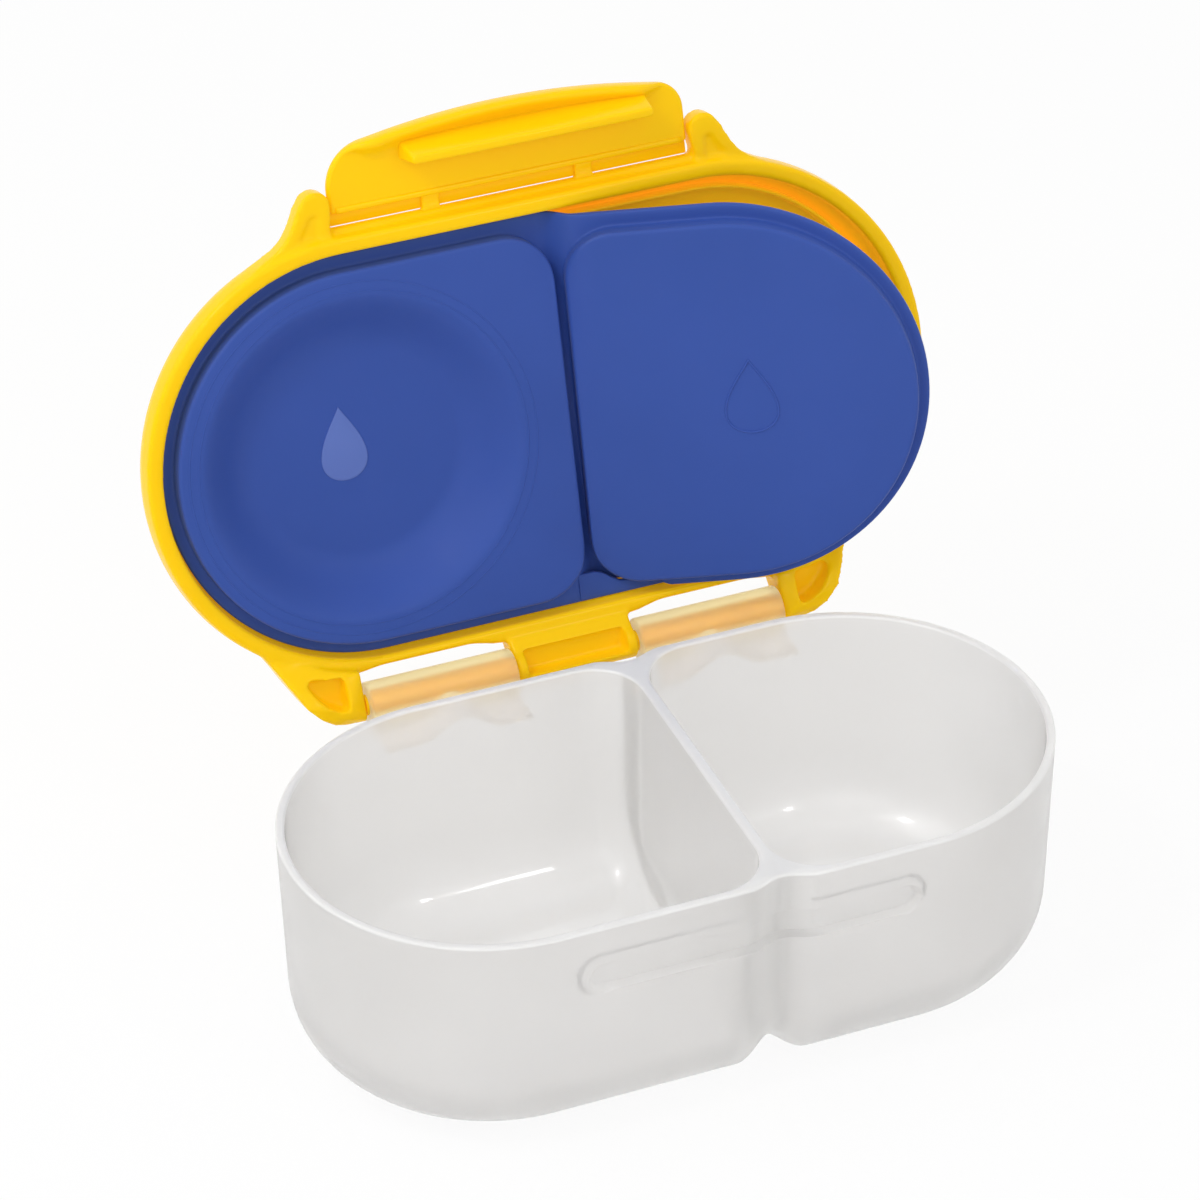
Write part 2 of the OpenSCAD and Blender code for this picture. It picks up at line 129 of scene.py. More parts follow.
@dataclass(frozen=True)
class FoldLine:
    """The line over the dividing wall on which the seal's flat side is peeled out.

    The bend is spread from bend_from to bend_to, and bent places are found in some tries.
    """

    x: float = 7.9
    z: float = 57.925
    skew_deg: float = 16.0
    peel_deg: float = 23.4
    bend_from: float = 4.5
    bend_to: float = 11.3
    tries: int = 12

    def weight(self, x: np.ndarray) -> np.ndarray:
        """Share of the full peel at each x, smooth from none to all."""
        return ramp(x, self.bend_from, self.bend_to)

    def peeled(self, points: np.ndarray) -> np.ndarray:
        """Bends flat points of the closed seal so that closing it gives them back.

        Args:
            points: Flat points in millimetres.

        Returns:
            The bent points.
        """
        skew = math.radians(self.skew_deg)
        axis = np.array([math.sin(skew), math.cos(skew), 0.0])
        pivot = np.array([self.x, 0.0, self.z])
        arm = points - pivot
        along = np.outer(arm @ axis, axis)
        across = np.cross(axis, arm)
        bent = points
        for _ in range(self.tries):
            turn = (self.weight(bent[:, 0]) * math.radians(self.peel_deg))[:, None]
            bent = pivot + along + (arm - along) * np.cos(turn) + across * np.sin(turn)
        return bent


HINGE = HingeLine()
FOLD = FoldLine()


# ---------------------------------------------------------------- shapes


def ramp(value: np.ndarray | float, start: float, end: float) -> np.ndarray:
    """Smooth ramp: 0 where the value is at the start or before it, and 1 from the end on."""
    t = np.clip((value - start) / (end - start), 0, 1)
    return t * t * (3 - 2 * t)


def graded(stops: Sequence[float], steps: Sequence[float]) -> np.ndarray:
    """Positions from the first stop to the last, with its own spacing in each stretch.

    Args:
        stops: Where the stretches begin and end.
        steps: Spacing wanted in each stretch.

    Returns:
        The positions, both ends among them.
    """
    out = [stops[0]]
    for a, b, step in zip(stops, stops[1:], steps):
        count = max(1, round(abs(b - a) / step))
        out.extend(np.linspace(a, b, count + 1)[1:])
    return np.array(out)


def full_turn(count: int) -> np.ndarray:
    """Angles in equal steps once round."""
    return np.linspace(0, 2 * math.pi, count, endpoint=False)


def squared(wave: np.ndarray, power: float) -> np.ndarray:
    """Sines or cosines pushed out towards a box: the smaller the power, the squarer."""
    return np.sign(wave) * np.abs(wave) ** power


def columns(*coordinates: np.ndarray | float) -> np.ndarray:
    """Points in rows, from coordinates that are arrays or one number for all points."""
    return np.stack(np.broadcast_arrays(*coordinates), 1)


def at_height(plan: np.ndarray, z: np.ndarray | float) -> np.ndarray:
    """Points (x, y) of a plan lifted to one height, or each to its own."""
    return columns(*plan.T, z)


def arc(
    x: float, y: float, r: float, from_deg: float, to_deg: float, count: int
) -> list[tuple[float, float]]:
    """Points of an arc round (x, y), from one direction to another."""
    return [
        (x + r * math.cos(a), y + r * math.sin(a))
        for a in np.radians(np.linspace(from_deg, to_deg, count))
    ]


def quarter(radius: float, count: int = 5) -> list[tuple[float, float]]:
    """Steps round a quarter circle, as how far in and how far up."""
    return [
        (radius * (1 - math.cos(a)), radius * math.sin(a))
        for a in np.linspace(0, math.pi / 2, count)
    ]


def stadium(spine: float, r: float, xs: np.ndarray, steps: int, shift: float = 0.0) -> np.ndarray:
    """Ring round a stadium: front straight, right end, back straight, left end.

    Args:
        spine: Half the distance between the end centres.
        r: Radius of the ends.
        xs: Positions along the straights, as shares of the spine from -1 to 1.
        steps: Steps round each end.
        shift: Move along X.

    Returns:
        Points (x, y) of the closed ring.
    """
    line = xs * spine
    turn = np.linspace(-math.pi / 2, math.pi / 2, steps + 1)[1:-1]
    right = columns(spine + r * np.cos(turn), r * np.sin(turn))
    ring = np.concatenate([columns(line, -r), right, columns(line[::-1], r), -right])
    ring[:, 0] += shift
    return ring


@dataclass(frozen=True)
class RoomOutline:
    """Outline of one side of the divided box: a round end, two straights and two corners.

    Attributes:
        side: Which side of the dividing wall it is on.
        face_x: Place of the face by the dividing wall.
        reach: Distance from that face to the centre of the round end.
        r: Radius of the round end.
        corner: Radius of the corners at the dividing wall.
    """

    side: Side
    face_x: float
    reach: float
    r: float
    corner: float
    end_steps: int = 72
    line_steps: int = 44
    corner_steps: int = 16
    face_steps: int = 40
    least_corner: float = 1.5

    def even(self, inset: float, z: float) -> np.ndarray:
        """Ring at a height, set in alike all round."""
        return self.ring(inset, inset, z)

    def ring(self, inset: float, face_inset: float, z: float) -> np.ndarray:
        """Ring of points set in from the outline.

        Args:
            inset: How far in from the round end and the straights.
            face_inset: How far in from the face by the wall.
            z: Height of the ring.

        Returns:
            Points (x, y, z), always the same number in the same order.
        """
        r = self.r - inset
        reach = self.reach - face_inset
        c = max(self.corner - 0.5 * (inset + face_inset), self.least_corner)
        quarter_turn = math.pi / 2
        end = np.linspace(quarter_turn, -quarter_turn, self.end_steps + 1)
        line = np.linspace(reach, c, self.line_steps + 1)[1:-1]
        turn = np.linspace(0, quarter_turn, self.corner_steps + 1)
        face = np.linspace(-(r - c), r - c, self.face_steps + 1)[1:-1]
        u, y = np.concatenate([
            columns(reach + r * np.cos(end), r * np.sin(end)),
            columns(line, -r),
            columns(c - c * np.sin(turn), -(r - c) - c * np.cos(turn)),
            columns(0.0, face),
            columns(c - c * np.cos(turn), (r - c) + c * np.sin(turn)),
            columns(line[::-1], r),
        ]).T
        return columns(self.face_x + self.side.value * (face_inset + u), y, z)


class Shell:
    """Points and faces of one mesh, gathered ring by ring, in millimetres."""

    def __init__(self) -> None:
        """Starts empty."""
        self.points: list[np.ndarray] = []
        self.faces: list[tuple[int, ...]] = []
        self.count = 0
        self.marks: dict[int, int] = {}

    def add(self, ring: np.ndarray) -> np.ndarray:
        """Adds a ring of points and returns their numbers."""
        ring = np.asarray(ring, float)
        self.points.append(ring)
        numbers = np.arange(self.count, self.count + len(ring))
        self.count += len(ring)
        return numbers

    def mark(self, numbers: Iterable[int], finish: int) -> None:
        """Marks faces, by their numbers, for one of the piece's other finishes, from 1 up."""
        self.marks.update(dict.fromkeys(numbers, finish))

    def above(self, height: float) -> list[int]:
        """Numbers of the faces that lie wholly above a height."""
        z = np.concatenate(self.points)[:, 2]
        return [i for i, face in enumerate(self.faces) if z[list(face)].min() > height]

    def band(self, a: np.ndarray, b: np.ndarray, closed: bool = True) -> None:
        """Joins two rings of equal length with four-sided faces."""
        last = len(a) if closed else len(a) - 1
        for i in range(last):
            j = (i + 1) % len(a)
            self.faces.append((int(a[i]), int(a[j]), int(b[j]), int(b[i])))

    def loft(self, rings: Sequence[np.ndarray]) -> list[np.ndarray]:
        """Adds rings of equal length, joins each to the next and returns their numbers."""
        numbers = [self.add(r) for r in rings]
        for a, b in zip(numbers, numbers[1:]):
            self.band(a, b)
        return numbers

    def capped(self, rings: Sequence[np.ndarray]) -> "Shell":
        """Adds rings as a closed body, its first and last ring filled, and returns itself."""
        numbers = self.loft(rings)
        self.fill([numbers[0]])
        self.fill([numbers[-1]])
        return self

    def fill(self, loops: Sequence[np.ndarray]) -> None:
        """Fills a flat outline, whose further loops are holes, with triangles."""
        everything = np.concatenate(self.points)
        flat = [[Vector(everything[i]) for i in loop] for loop in loops]
        numbers = np.concatenate(loops)
        for tri in tessellate_polygon(flat):
            self.faces.append(tuple(int(numbers[i]) for i in tri))

    def build(
        self,
        name: str,
        place: Place | None = None,
        sharp_deg: float = 42.0,
        inner: Callable[[np.ndarray], bool] | None = None,
    ) -> Object:
        """Makes the mesh object.

        Args:
            name: The piece's name.
            place: Moves the points, in millimetres, to their place.
            sharp_deg: Edges that turn more than this are drawn sharp.
            inner: Tells of a face's points whether the face lies inside the piece and goes.

        Returns:
            The new object, in metres, with its normals outward.
        """
        points = np.concatenate(self.points)
        faces = self.faces
        if inner is not None:
            faces = [f for f in faces if not inner(points[list(f)])]
        if place is not None:
            points = place(points)
        mesh = bpy.data.meshes.new(name)
        mesh.from_pydata((points * MM).tolist(), [], faces)
        if self.marks:
            finishes = [self.marks.get(i, 0) for i in range(len(faces))]
            mesh.polygons.foreach_set("material_index", finishes)
        tidy(mesh, sharp_deg)
        return added(name, mesh)


def added(name: str, data: ID) -> Object:
    """Links a new object with that mesh, light or camera to the scene."""
    made = bpy.data.objects.new(name, data)
    bpy.context.scene.collection.objects.link(made)
    return made


def tidy(mesh: Mesh, sharp_deg: float) -> None:
    """Merges doubled points, turns normals outward and shades smooth but for sharp edges."""
    work = bmesh.new()
    work.from_mesh(mesh)
    bmesh.ops.remove_doubles(work, verts=work.verts, dist=2e-6)
    bmesh.ops.dissolve_degenerate(work, edges=work.edges, dist=1e-7)
    bmesh.ops.recalc_face_normals(work, faces=work.faces)
    work.to_mesh(mesh)
    work.free()
    mesh.shade_smooth()
    mesh.set_sharp_from_angle(angle=math.radians(sharp_deg))
    mesh.validate()


def baked(piece: Object) -> Object:
    """Turns a piece with modifiers into its plain result and drops the modifiers."""
    bpy.context.view_layer.update()
    graph = bpy.context.evaluated_depsgraph_get()
    result = bpy.data.meshes.new_from_object(piece.evaluated_get(graph))
    old = piece.data
    piece.modifiers.clear()
    piece.data = result
    result.name = piece.name
    bpy.data.meshes.remove(old)
    return piece


def moved(piece: Object, place: Place) -> None:
    """Moves a piece's points, given in millimetres, and keeps its faces."""
    count = len(piece.data.vertices)
    co = np.zeros(count * 3, np.float32)
    piece.data.vertices.foreach_get("co", co)
    points = place(co.reshape(-1, 3).astype(float) / MM)
    piece.data.vertices.foreach_set("co", (points * MM).astype(np.float32).ravel())
    piece.data.update()


def softened(solids: Sequence[Object], name: str, voxel: float, rounds: int) -> Object:
    """Copy of some solids, grown together as in one mould, with rounded edges and corners.

    Args:
        solids: The solids; they may overlap, or meet with a hair gap.
        name: Name of the new piece.
        voxel: Grain of the copy in millimetres.
        rounds: How often it is smoothed.

    Returns:
        The rounded copy.
    """
    work = bmesh.new()
    for solid in solids:
        work.from_mesh(solid.data)
    bmesh.ops.remove_doubles(work, verts=work.verts, dist=1e-6)
    mesh = bpy.data.meshes.new(name)
    work.to_mesh(mesh)
    work.free()
    piece = added(name, mesh)
    remesh = piece.modifiers.new("grain", "REMESH")
    remesh.mode = "VOXEL"
    remesh.voxel_size = voxel * MM
    remesh.adaptivity = 0.0
    smooth = piece.modifiers.new("soft", "SMOOTH")
    smooth.factor = 0.5
    smooth.iterations = rounds
    baked(piece)
    piece.data.shade_smooth()
    return piece


# ---------------------------------------------------------------- finishes


def linear(code: str) -> tuple[float, float, float, float]:
    """Turns a written colour such as "#ffd700" into the numbers that shaders take."""
    channels = [int(code[i : i + 2], 16) / 255 for i in (1, 3, 5)]
    red, green, blue = (
        c / 12.92 if c <= 0.04045 else ((c + 0.055) / 1.055) ** 2.4 for c in channels
    )
    return red, green, blue, 1.0


def add_node(tree: NodeTree, kind: str, **inputs: object) -> Node:
    """Adds a node and sets its inputs by name, with spaces written as underscores.

    Args:
        tree: The node tree.
        kind: The node's type name.
        inputs: Values of its inputs. Instead of a value, a socket is linked, and a node's
            first output.

    Returns:
        The node.
    """
    node = tree.nodes.new(kind)
    for key, value in inputs.items():
        socket = node.inputs[key.replace("_", " ")]
        if isinstance(value, Node):
            value = value.outputs[0]
        if isinstance(value, NodeSocket):
            tree.links.new(value, socket)
        else:
            socket.default_value = value
    return node


# Nearly all of a noise texture's values lie between these two.
NOISE_SPAN = (0.3, 0.7)


def noise(tree: NodeTree, scale: float, detail: float) -> Node:
    """Noise that is fixed to the piece, with that many lumps per metre."""
    place = add_node(tree, "ShaderNodeTexCoord").outputs["Object"]
    return add_node(tree, "ShaderNodeTexNoise", Vector=place, Scale=scale, Detail=detail)


def mottled(tree: NodeTree, scale: float, low: object, high: object) -> Node:
    """Number or colour that wanders softly between two ends over the piece.

    Args:
        tree: The node tree.
        scale: Blotches per metre.
        low: One end.
        high: The other end.

    Returns:
        The node whose first output carries it.
    """
    wander = noise(tree, scale, 3.0)
    if isinstance(low, float):
        return add_node(
            tree, "ShaderNodeMapRange", Value=wander, From_Min=NOISE_SPAN[0],
            From_Max=NOISE_SPAN[1], To_Min=low, To_Max=high,
        )
    ramp = add_node(tree, "ShaderNodeValToRGB", Fac=wander)
    for stop, position, colour in zip(ramp.color_ramp.elements, NOISE_SPAN, (low, high)):
        stop.position = position
        stop.color = colour
    return ramp


@dataclass(frozen=True)
class Finish:
    """A named material: two close tints, an uneven gloss, a fine grain and its settings.

    Attributes:
        name: The material's name.
        tints: Its two tints, and how many blotches of them there are per metre.
        rough: The two ends of its roughness, and how many blotches per metre.
        grain: Grains per metre, how strongly they show, and their depth in metres.
        settings: Constants of the Principled shader, by the names of its inputs.
    """

    name: str
    tints: tuple[str, str, float]
    rough: tuple[float, float, float]
    grain: tuple[float, float, float]
    settings: dict[str, object]

    def material(self) -> Material:
        """The finish's material, made once."""
        found = bpy.data.materials.get(self.name)
        if found:
            return found
        made = bpy.data.materials.new(self.name)
        made.use_nodes = True
        tree = made.node_tree
        shader = tree.nodes["Principled BSDF"]
        bright, deep, blotches = self.tints
        low, high, patches = self.rough
        grains, strength, depth = self.grain
        bump = add_node(
            tree, "ShaderNodeBump", Strength=strength, Distance=depth,
            Height=noise(tree, grains, 2.0),
        )
        for key, source in (
            ("Base Color", mottled(tree, blotches, linear(bright), linear(deep))),
            ("Roughness", mottled(tree, patches, low, high)),
            ("Normal", bump),
        ):
            tree.links.new(source.outputs[0], shader.inputs[key])
        for key, value in self.settings.items():
            shader.inputs[key].default_value = value
        return made

    def dress(self, piece: Object, slot: Slot, *others: "Finish") -> Object:
        """Gives the piece this finish.

        Args:
            piece: The piece.
            slot: Its material slot; not used.
            others: Finishes of the marked faces, where the piece has more than one.

        Returns:
            The piece.
        """
        marks = [face.material_index for face in piece.data.polygons]
        piece.data.materials.clear()
        for finish in (self, *others):
            piece.data.materials.append(finish.material())
        if others:
            piece.data.polygons.foreach_set("material_index", marks)
        return piece


def stand_for(piece: Object, *nodes: str) -> None:
    """Puts a dressed piece in the place of those solids, if any, and logs it."""
    if nodes:
        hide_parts(*nodes)
    LOG.info("%s: %d faces", piece.name, len(piece.data.polygons))


def seat(piece: Object, body: Body, *nodes: str) -> None:
    """Lets a dressed piece ride on a body, in the place of those solids."""
    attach(piece, body.value)
    stand_for(piece, *nodes)


# Natural polypropylene with a fine frosted face: milky, and light goes a little through.
# Its small emission is the light that wanders inside and keeps its shadows pale. The melt's
# cloudiness changes over 70 mm and the gloss over 17 mm; the frosting is drawn 0.4 mm wide,
# coarser than its real 0.05 mm, so that it shows.
FROSTED = Finish(
    "frosted_polypropylene", ("#e8e7e6", "#e4e3e2", 14.0), (0.28, 0.36, 60.0),
    (2600.0, 0.10, 0.00004),
    {
        "Transmission Weight": 0.74, "IOR": 1.45, "Subsurface Weight": 0.30,
        "Subsurface Radius": (1.0, 0.97, 0.92), "Subsurface Scale": 0.004,
        "Emission Color": linear("#fffdfa"), "Emission Strength": 0.075,
    },
)
# The same plastic inside the rooms, polished in the mould: crisp lights on the floors.
POLISHED = replace(
    FROSTED, name="polished_polypropylene",
    settings=FROSTED.settings | {"Coat Weight": 0.7, "Coat Roughness": 0.07, "Coat IOR": 1.45},
)
# The same plastic on the rim, where it is seen down the length of its wall. A paler tint and a
# stronger glow paint the light there, so the rim reads as a pale band.
RIM_PAINTED_LIGHT = replace(
    FROSTED, name="rim_polypropylene_painted_light", tints=("#eeeeed", "#ebebea", 14.0),
    settings=FROSTED.settings | {"Transmission Weight": 0.4, "Emission Strength": 0.09},
)
# The same plastic in a thin plate with daylight behind it. Its paler, warmer tint and stronger
# glow are painted light: the backlight and the warm light from the pins.
BRACKET_PAINTED_BACKLIGHT = replace(
    FROSTED, name="bracket_polypropylene_painted_backlight", tints=("#f4f0ea", "#f1ece5", 14.0),
    settings=FROSTED.settings | {"Transmission Weight": 0.6, "Emission Strength": 0.17},
)
# The same plastic in the clearer barrels. Its warm yellow tint and small glow are painted light of
# the yellow pins shining through.
CLEAR_PAINTED_PIN_GLOW = replace(
    FROSTED, name="clear_polypropylene_painted_pin_glow", tints=("#fff0b6", "#ffecae", 14.0),
    rough=(0.33, 0.39, 60.0),
    settings=FROSTED.settings | {
        "Transmission Weight": 0.9, "Subsurface Weight": 0.05, "Emission Strength": 0.045,
    },
)
# Dyed polypropylene, smooth from the mould: a satin gloss with faint flow marks. Daylight
# through the thin walls, which its small emission is, turns the shadows orange. The dye
# drifts over 33 mm and the gloss over 11 mm; the mould's fine marks are drawn 0.55 mm wide,
# coarser than their real 0.1 mm, so that they show.
YELLOW = Finish(
    "yellow_polypropylene", ("#f4c900", "#f1c500", 30.0), (0.18, 0.26, 90.0),
    (1800.0, 0.06, 0.00004),
    {
        "IOR": 1.49, "Specular IOR Level": 0.13, "Subsurface Weight": 0.2,
        "Subsurface Radius": (1.0, 0.55, 0.1), "Subsurface Scale": 0.0015,
        "Emission Color": linear("#ffb024"), "Emission Strength": 0.12,
    },
)
# The same plastic inside the lid, where it is thin and lit from behind. Its stronger, more orange
# glow is painted light from behind, which makes the inside of the lid warm orange.
BACKLIT_YELLOW_PAINTED = replace(
    YELLOW, name="yellow_polypropylene_painted_backlight",
    settings=YELLOW.settings | {
        "Subsurface Weight": 0.3, "Emission Color": linear("#ffb42c"), "Emission Strength": 0.24,
    },
)
# Soft satin silicone rubber: an even dark body with the pale sheen of its fine surface. The
# tint drifts over 38 mm and the gloss over 9 mm; the matt grain is drawn 0.3 mm wide, coarser
# than its real 0.03 mm, so that it shows.
BLUE = Finish(
    "blue_silicone", ("#3552a4", "#324f9f", 26.0), (0.42, 0.54, 110.0), (3200.0, 0.08, 0.00003),
    {
        "IOR": 1.42, "Specular IOR Level": 0.32, "Sheen Weight": 0.06, "Sheen Roughness": 0.4,
        "Subsurface Weight": 0.05, "Subsurface Scale": 0.002,
    },
)
# The paler silicone of the drop let into the dish.
PALE_BLUE = replace(BLUE, name="pale_blue_silicone", tints=("#5f76bd", "#5a70b8", 26.0))


# ---------------------------------------------------------------- beads along a line


class BeadMaker:
    """Geometry Nodes that lay a bead, rib or ridge along a line drawn in edges."""

    steps = 12

    def __init__(self) -> None:
        """Builds the tree once: line to curve, a flattened round profile along it, the finish."""
        tree = bpy.data.node_groups.new("bead_along_line", "GeometryNodeTree")
        self.tree = tree
        self.sockets: dict[str, str] = {}
        for name, kind in (
            ("Geometry", "Geometry"), ("Half width", "Float"), ("Half height", "Float"),
            ("Profile steps", "Int"), ("Finish", "Material"),
        ):
            socket = tree.interface.new_socket(
                name=name, in_out="INPUT", socket_type=f"NodeSocket{kind}"
            )
            self.sockets[name] = socket.identifier
        tree.interface.new_socket(
            name="Geometry", in_out="OUTPUT", socket_type="NodeSocketGeometry"
        )
        entry = tree.nodes.new("NodeGroupInput").outputs
        curve = add_node(tree, "GeometryNodeMeshToCurve", Mesh=entry["Geometry"])
        upright = add_node(tree, "GeometryNodeSetCurveNormal", Curve=curve)
        upright.mode = "Z_UP"
        circle = add_node(
            tree, "GeometryNodeCurvePrimitiveCircle", Resolution=entry["Profile steps"], Radius=1.0
        )
        size = add_node(
            tree, "ShaderNodeCombineXYZ", X=entry["Half width"], Y=entry["Half height"], Z=1.0
        )
        profile = add_node(tree, "GeometryNodeTransform", Geometry=circle, Scale=size)
        body = add_node(
            tree, "GeometryNodeCurveToMesh", Curve=upright, Profile_Curve=profile, Fill_Caps=True
        )
        smooth = add_node(tree, "GeometryNodeSetShadeSmooth", Geometry=body)
        whole = add_node(tree, "GeometryNodeRealizeInstances", Geometry=smooth)
        done = add_node(tree, "GeometryNodeSetMaterial", Geometry=whole, Material=entry["Finish"])
        add_node(tree, "NodeGroupOutput", Geometry=done)

    def lay(
        self,
        name: str,
        lines: Sequence[np.ndarray],
        half_width: float,
        half_height: float,
        finish: Finish,
        place: Place | None = None,
        closed: bool = True,
    ) -> Object:
        """Lays beads along lines of points.

        Args:
            name: The piece's name.
            lines: Each line's points (x, y, z) in millimetres.
            half_width: Half the bead's width across the line.
            half_height: Half the bead's height.
            finish: What the bead is made of.
            place: Moves the result, in millimetres, to its place.
            closed: Whether the lines close on themselves.

        Returns:
            The bead as a plain mesh.
        """
        points: list[list[float]] = []
        edges: list[tuple[int, int]] = []
        for line in lines:
            start = len(points)
            points.extend((np.asarray(line) * MM).tolist())
            count = len(line)
            edges.extend((start + i, start + i + 1) for i in range(count - 1))
            if closed:
                edges.append((start + count - 1, start))
        mesh = bpy.data.meshes.new(name)
        mesh.from_pydata(points, edges, [])
        piece = added(name, mesh)
        layer = piece.modifiers.new("bead", "NODES")
        layer.node_group = self.tree
        for key, value in (
            ("Half width", half_width * MM), ("Half height", half_height * MM),
            ("Profile steps", self.steps), ("Finish", finish.material()),
        ):
            layer[self.sockets[key]] = value
        baked(piece)
        if place is not None:
            moved(piece, place)
        tidy(piece.data, 180.0)
        return piece


BEADS = BeadMaker()


# ---------------------------------------------------------------- tub


@dataclass
class Tub:
    """The frosted tub: one moulding with two rooms, a catch recess and two hinge barrels."""

    # Outer skin: an oblong with round ends that leans out a little, on a rounded foot.
    spine: float = 42.65
    rim_r: float = 45.35
    height: float = 57.0
    lean: float = 1.5 / 57.0
    foot_r: float = 26.3
    foot_round: float = 18.0
    rim_round: float = 0.6
    # Rooms on both sides of the dividing wall.
    wall: float = 2.0
    floor: float = 2.6
    floor_round: float = 16.0
    divider_round: float = 10.0
    divider_x: float = 7.9
    divider_half: float = 1.3
    corner: float = 12.0
    # Groove up the walls and channel under the floor at the dividing wall.
    groove_depth: float = 2.3
    channel_depth: float = 4.0
    groove_half: float = 8.4
    # Recess in the front wall for the hook bar.
    catch_x: float = 1.3
    catch_z: float = 43.4
    catch_half: float = 38.5
    catch_half_height: float = 3.9
    catch_depth: float = 1.8
    catch_round: float = 1.1
    # Barrels for the hinge pins, and the wavy plates that carry them.
    barrel_r: float = 5.1
    barrel_bore: float = 2.48
    barrel_lip: float = 0.6
    barrel_from: float = 15.0
    barrel_to: float = 50.0
    bracket_middle: float = 31.5
    bracket_low: float = 46.8
    bracket_wall: float = 0.8
    bracket_rise: float = 4.6
    bracket_arch: float = 10.0

    def catch_mask(
        self, x: np.ndarray, z: np.ndarray | float, grow: float = 0.0
    ) -> np.ndarray:
        """How deep the catch recess is at points of the front wall, from 0 to 1."""
        r = self.catch_half_height + grow
        past = np.maximum(np.abs(x - self.catch_x) - (self.catch_half - self.catch_half_height), 0)
        gap = np.hypot(past, z - self.catch_z) - r
        return 1 - ramp(gap, -self.catch_round, 0.0)

    def groove(self, x: np.ndarray) -> np.ndarray:
        """How deep the groove at the dividing wall is, from 0 to 1."""
        t = np.clip(np.abs(x - self.divider_x) / self.groove_half, 0, 1)
        return 0.5 + 0.5 * np.cos(math.pi * t)

    def outer_rings(self) -> list[np.ndarray]:
        """Rings of the outer skin from the middle of the underside up to the rim."""
        s = self.spine
        # Closer together at the ends of the catch recess and across the groove.
        xs = graded(
            [-s, -41.0, -35.0, -2.0, 18.0, 37.0, s], [1.0, 0.45, 2.6, 0.6, 2.4, 0.45]
        ) / s
        # Radius and height, and how much the surface there looks out and down.
        profile = [(r, 0.0, 0.0, 1.0) for r in (0.0, 9.0, 18.0, self.foot_r)]
        lean = math.atan(self.lean)
        for a in np.linspace(0, math.pi / 2 - lean, 18)[1:]:
            out, down = math.sin(a), math.cos(a)
            r, z = self.foot_r + self.foot_round * out, self.foot_round * (1 - down)
            profile.append((r, z, out, down))
        top = self.height - self.rim_round
        levels = graded([profile[-1][1], 36.5, 50.0, top], [2.6, 0.45, 1.6])[1:]
        for z in levels:
            profile.append((self.rim_r - (self.height - z) * self.lean, z, 1.0, 0.0))
        for step_in, up in quarter(self.rim_round)[1:]:
            profile.append((self.rim_r - self.lean * self.rim_round - step_in, top + up, 1.0, 0.0))
        rings = []
        for r, z, out, down in profile:
            ring = stadium(s, r, xs, 72)
            x, y = ring[:, 0], ring[:, 1]
            straight = np.abs(x) < s + 1e-6
            depth = self.groove(x) * straight
            amount = depth * (self.groove_depth * out + self.channel_depth * down)
            catch = self.catch_depth * self.catch_mask(x, z)
            dy = np.where(straight & (y < 0), catch, 0) - np.sign(y) * amount * out
            rings.append(columns(x, y + dy, z + amount * down))
        return rings

    def room(self, side: Side) -> RoomOutline:
        """Outline of a compartment at the rim."""
        face = self.divider_x + side.value * self.divider_half
        reach = self.spine - side.value * face
        return RoomOutline(side, face, reach, self.rim_r - self.wall, self.corner)

    def room_rings(self, side: Side) -> list[np.ndarray]:
        """Rings of a compartment's skin from the rim down to the middle of its floor."""
        outline = self.room(side)
        rings = []
        for step_in, up in reversed(quarter(self.rim_round)):
            rings.append(outline.even(-step_in, self.height - self.rim_round + up))
        bend = self.floor + self.floor_round
        top = self.height - self.rim_round
        levels = graded([top, 51.0, 35.5, bend], [1.6, 0.6, 2.4])[1:]
        # Over the floor, closer together the lower they are, for the fillets round the floor.
        heights = [14.0, 12.0, 10.0, 8.0, 6.5, 5.0, 3.8, 2.8, 2.0, 1.3, 0.8, 0.4, 0.15, 0.03]
        for z in list(levels) + [self.floor + h for h in heights]:
            h = z - self.floor
            drop = (self.height - z) * self.lean
            wide = self._fillet(self.floor_round, h)
            by_wall = self._fillet(self.divider_round, h)
            ring = outline.ring(drop + wide, drop * 0.5 + by_wall, z)
            rings.append(self._with_catch(ring, z))
        base = rings[-1]
        centre = base.mean(0)
        for share in (0.66, 0.33):
            ring = centre + (base - centre) * share
            ring[:, 2] = self.floor
            rings.append(ring)
        return rings

    @staticmethod
    def _fillet(radius: float, h: float) -> float:
        """How far a fillet of that radius stands in at a height above the floor."""
        if h >= radius:
            return 0.0
        return radius - math.sqrt(radius * radius - (radius - h) ** 2)

    def _with_catch(self, ring: np.ndarray, z: float) -> np.ndarray:
        """Pushes the ring's front in where the catch recess bulges inside."""
        wall_y = -(self.rim_r - self.wall - (self.height - z) * self.lean)
        bulge = wall_y + self.catch_depth * self.catch_mask(ring[:, 0], z, self.wall)
        ring[:, 1] = np.where(ring[:, 1] < 0, np.maximum(ring[:, 1], bulge), ring[:, 1])
        return ring

    def moulding(self) -> Object:
        """The tub without its barrels, as one closed skin."""
        shell = Shell()
        outer = shell.loft(self.outer_rings())
        rooms = []
        start = len(shell.faces)
        for side in Side:
            numbers = shell.loft(self.room_rings(side))
            rooms.append(numbers[0])
            shell.fill([numbers[-1]])
        shell.mark(range(start, len(shell.faces)), 1)
        shell.fill([outer[-1], *rooms])
        # The rim's top faces take the paler copy with the stronger glow: painted light on the rim.
        shell.mark(shell.above(self.height - self.rim_round - 0.01), 2)
        return shell.build("tub_moulding", sharp_deg=50.0)

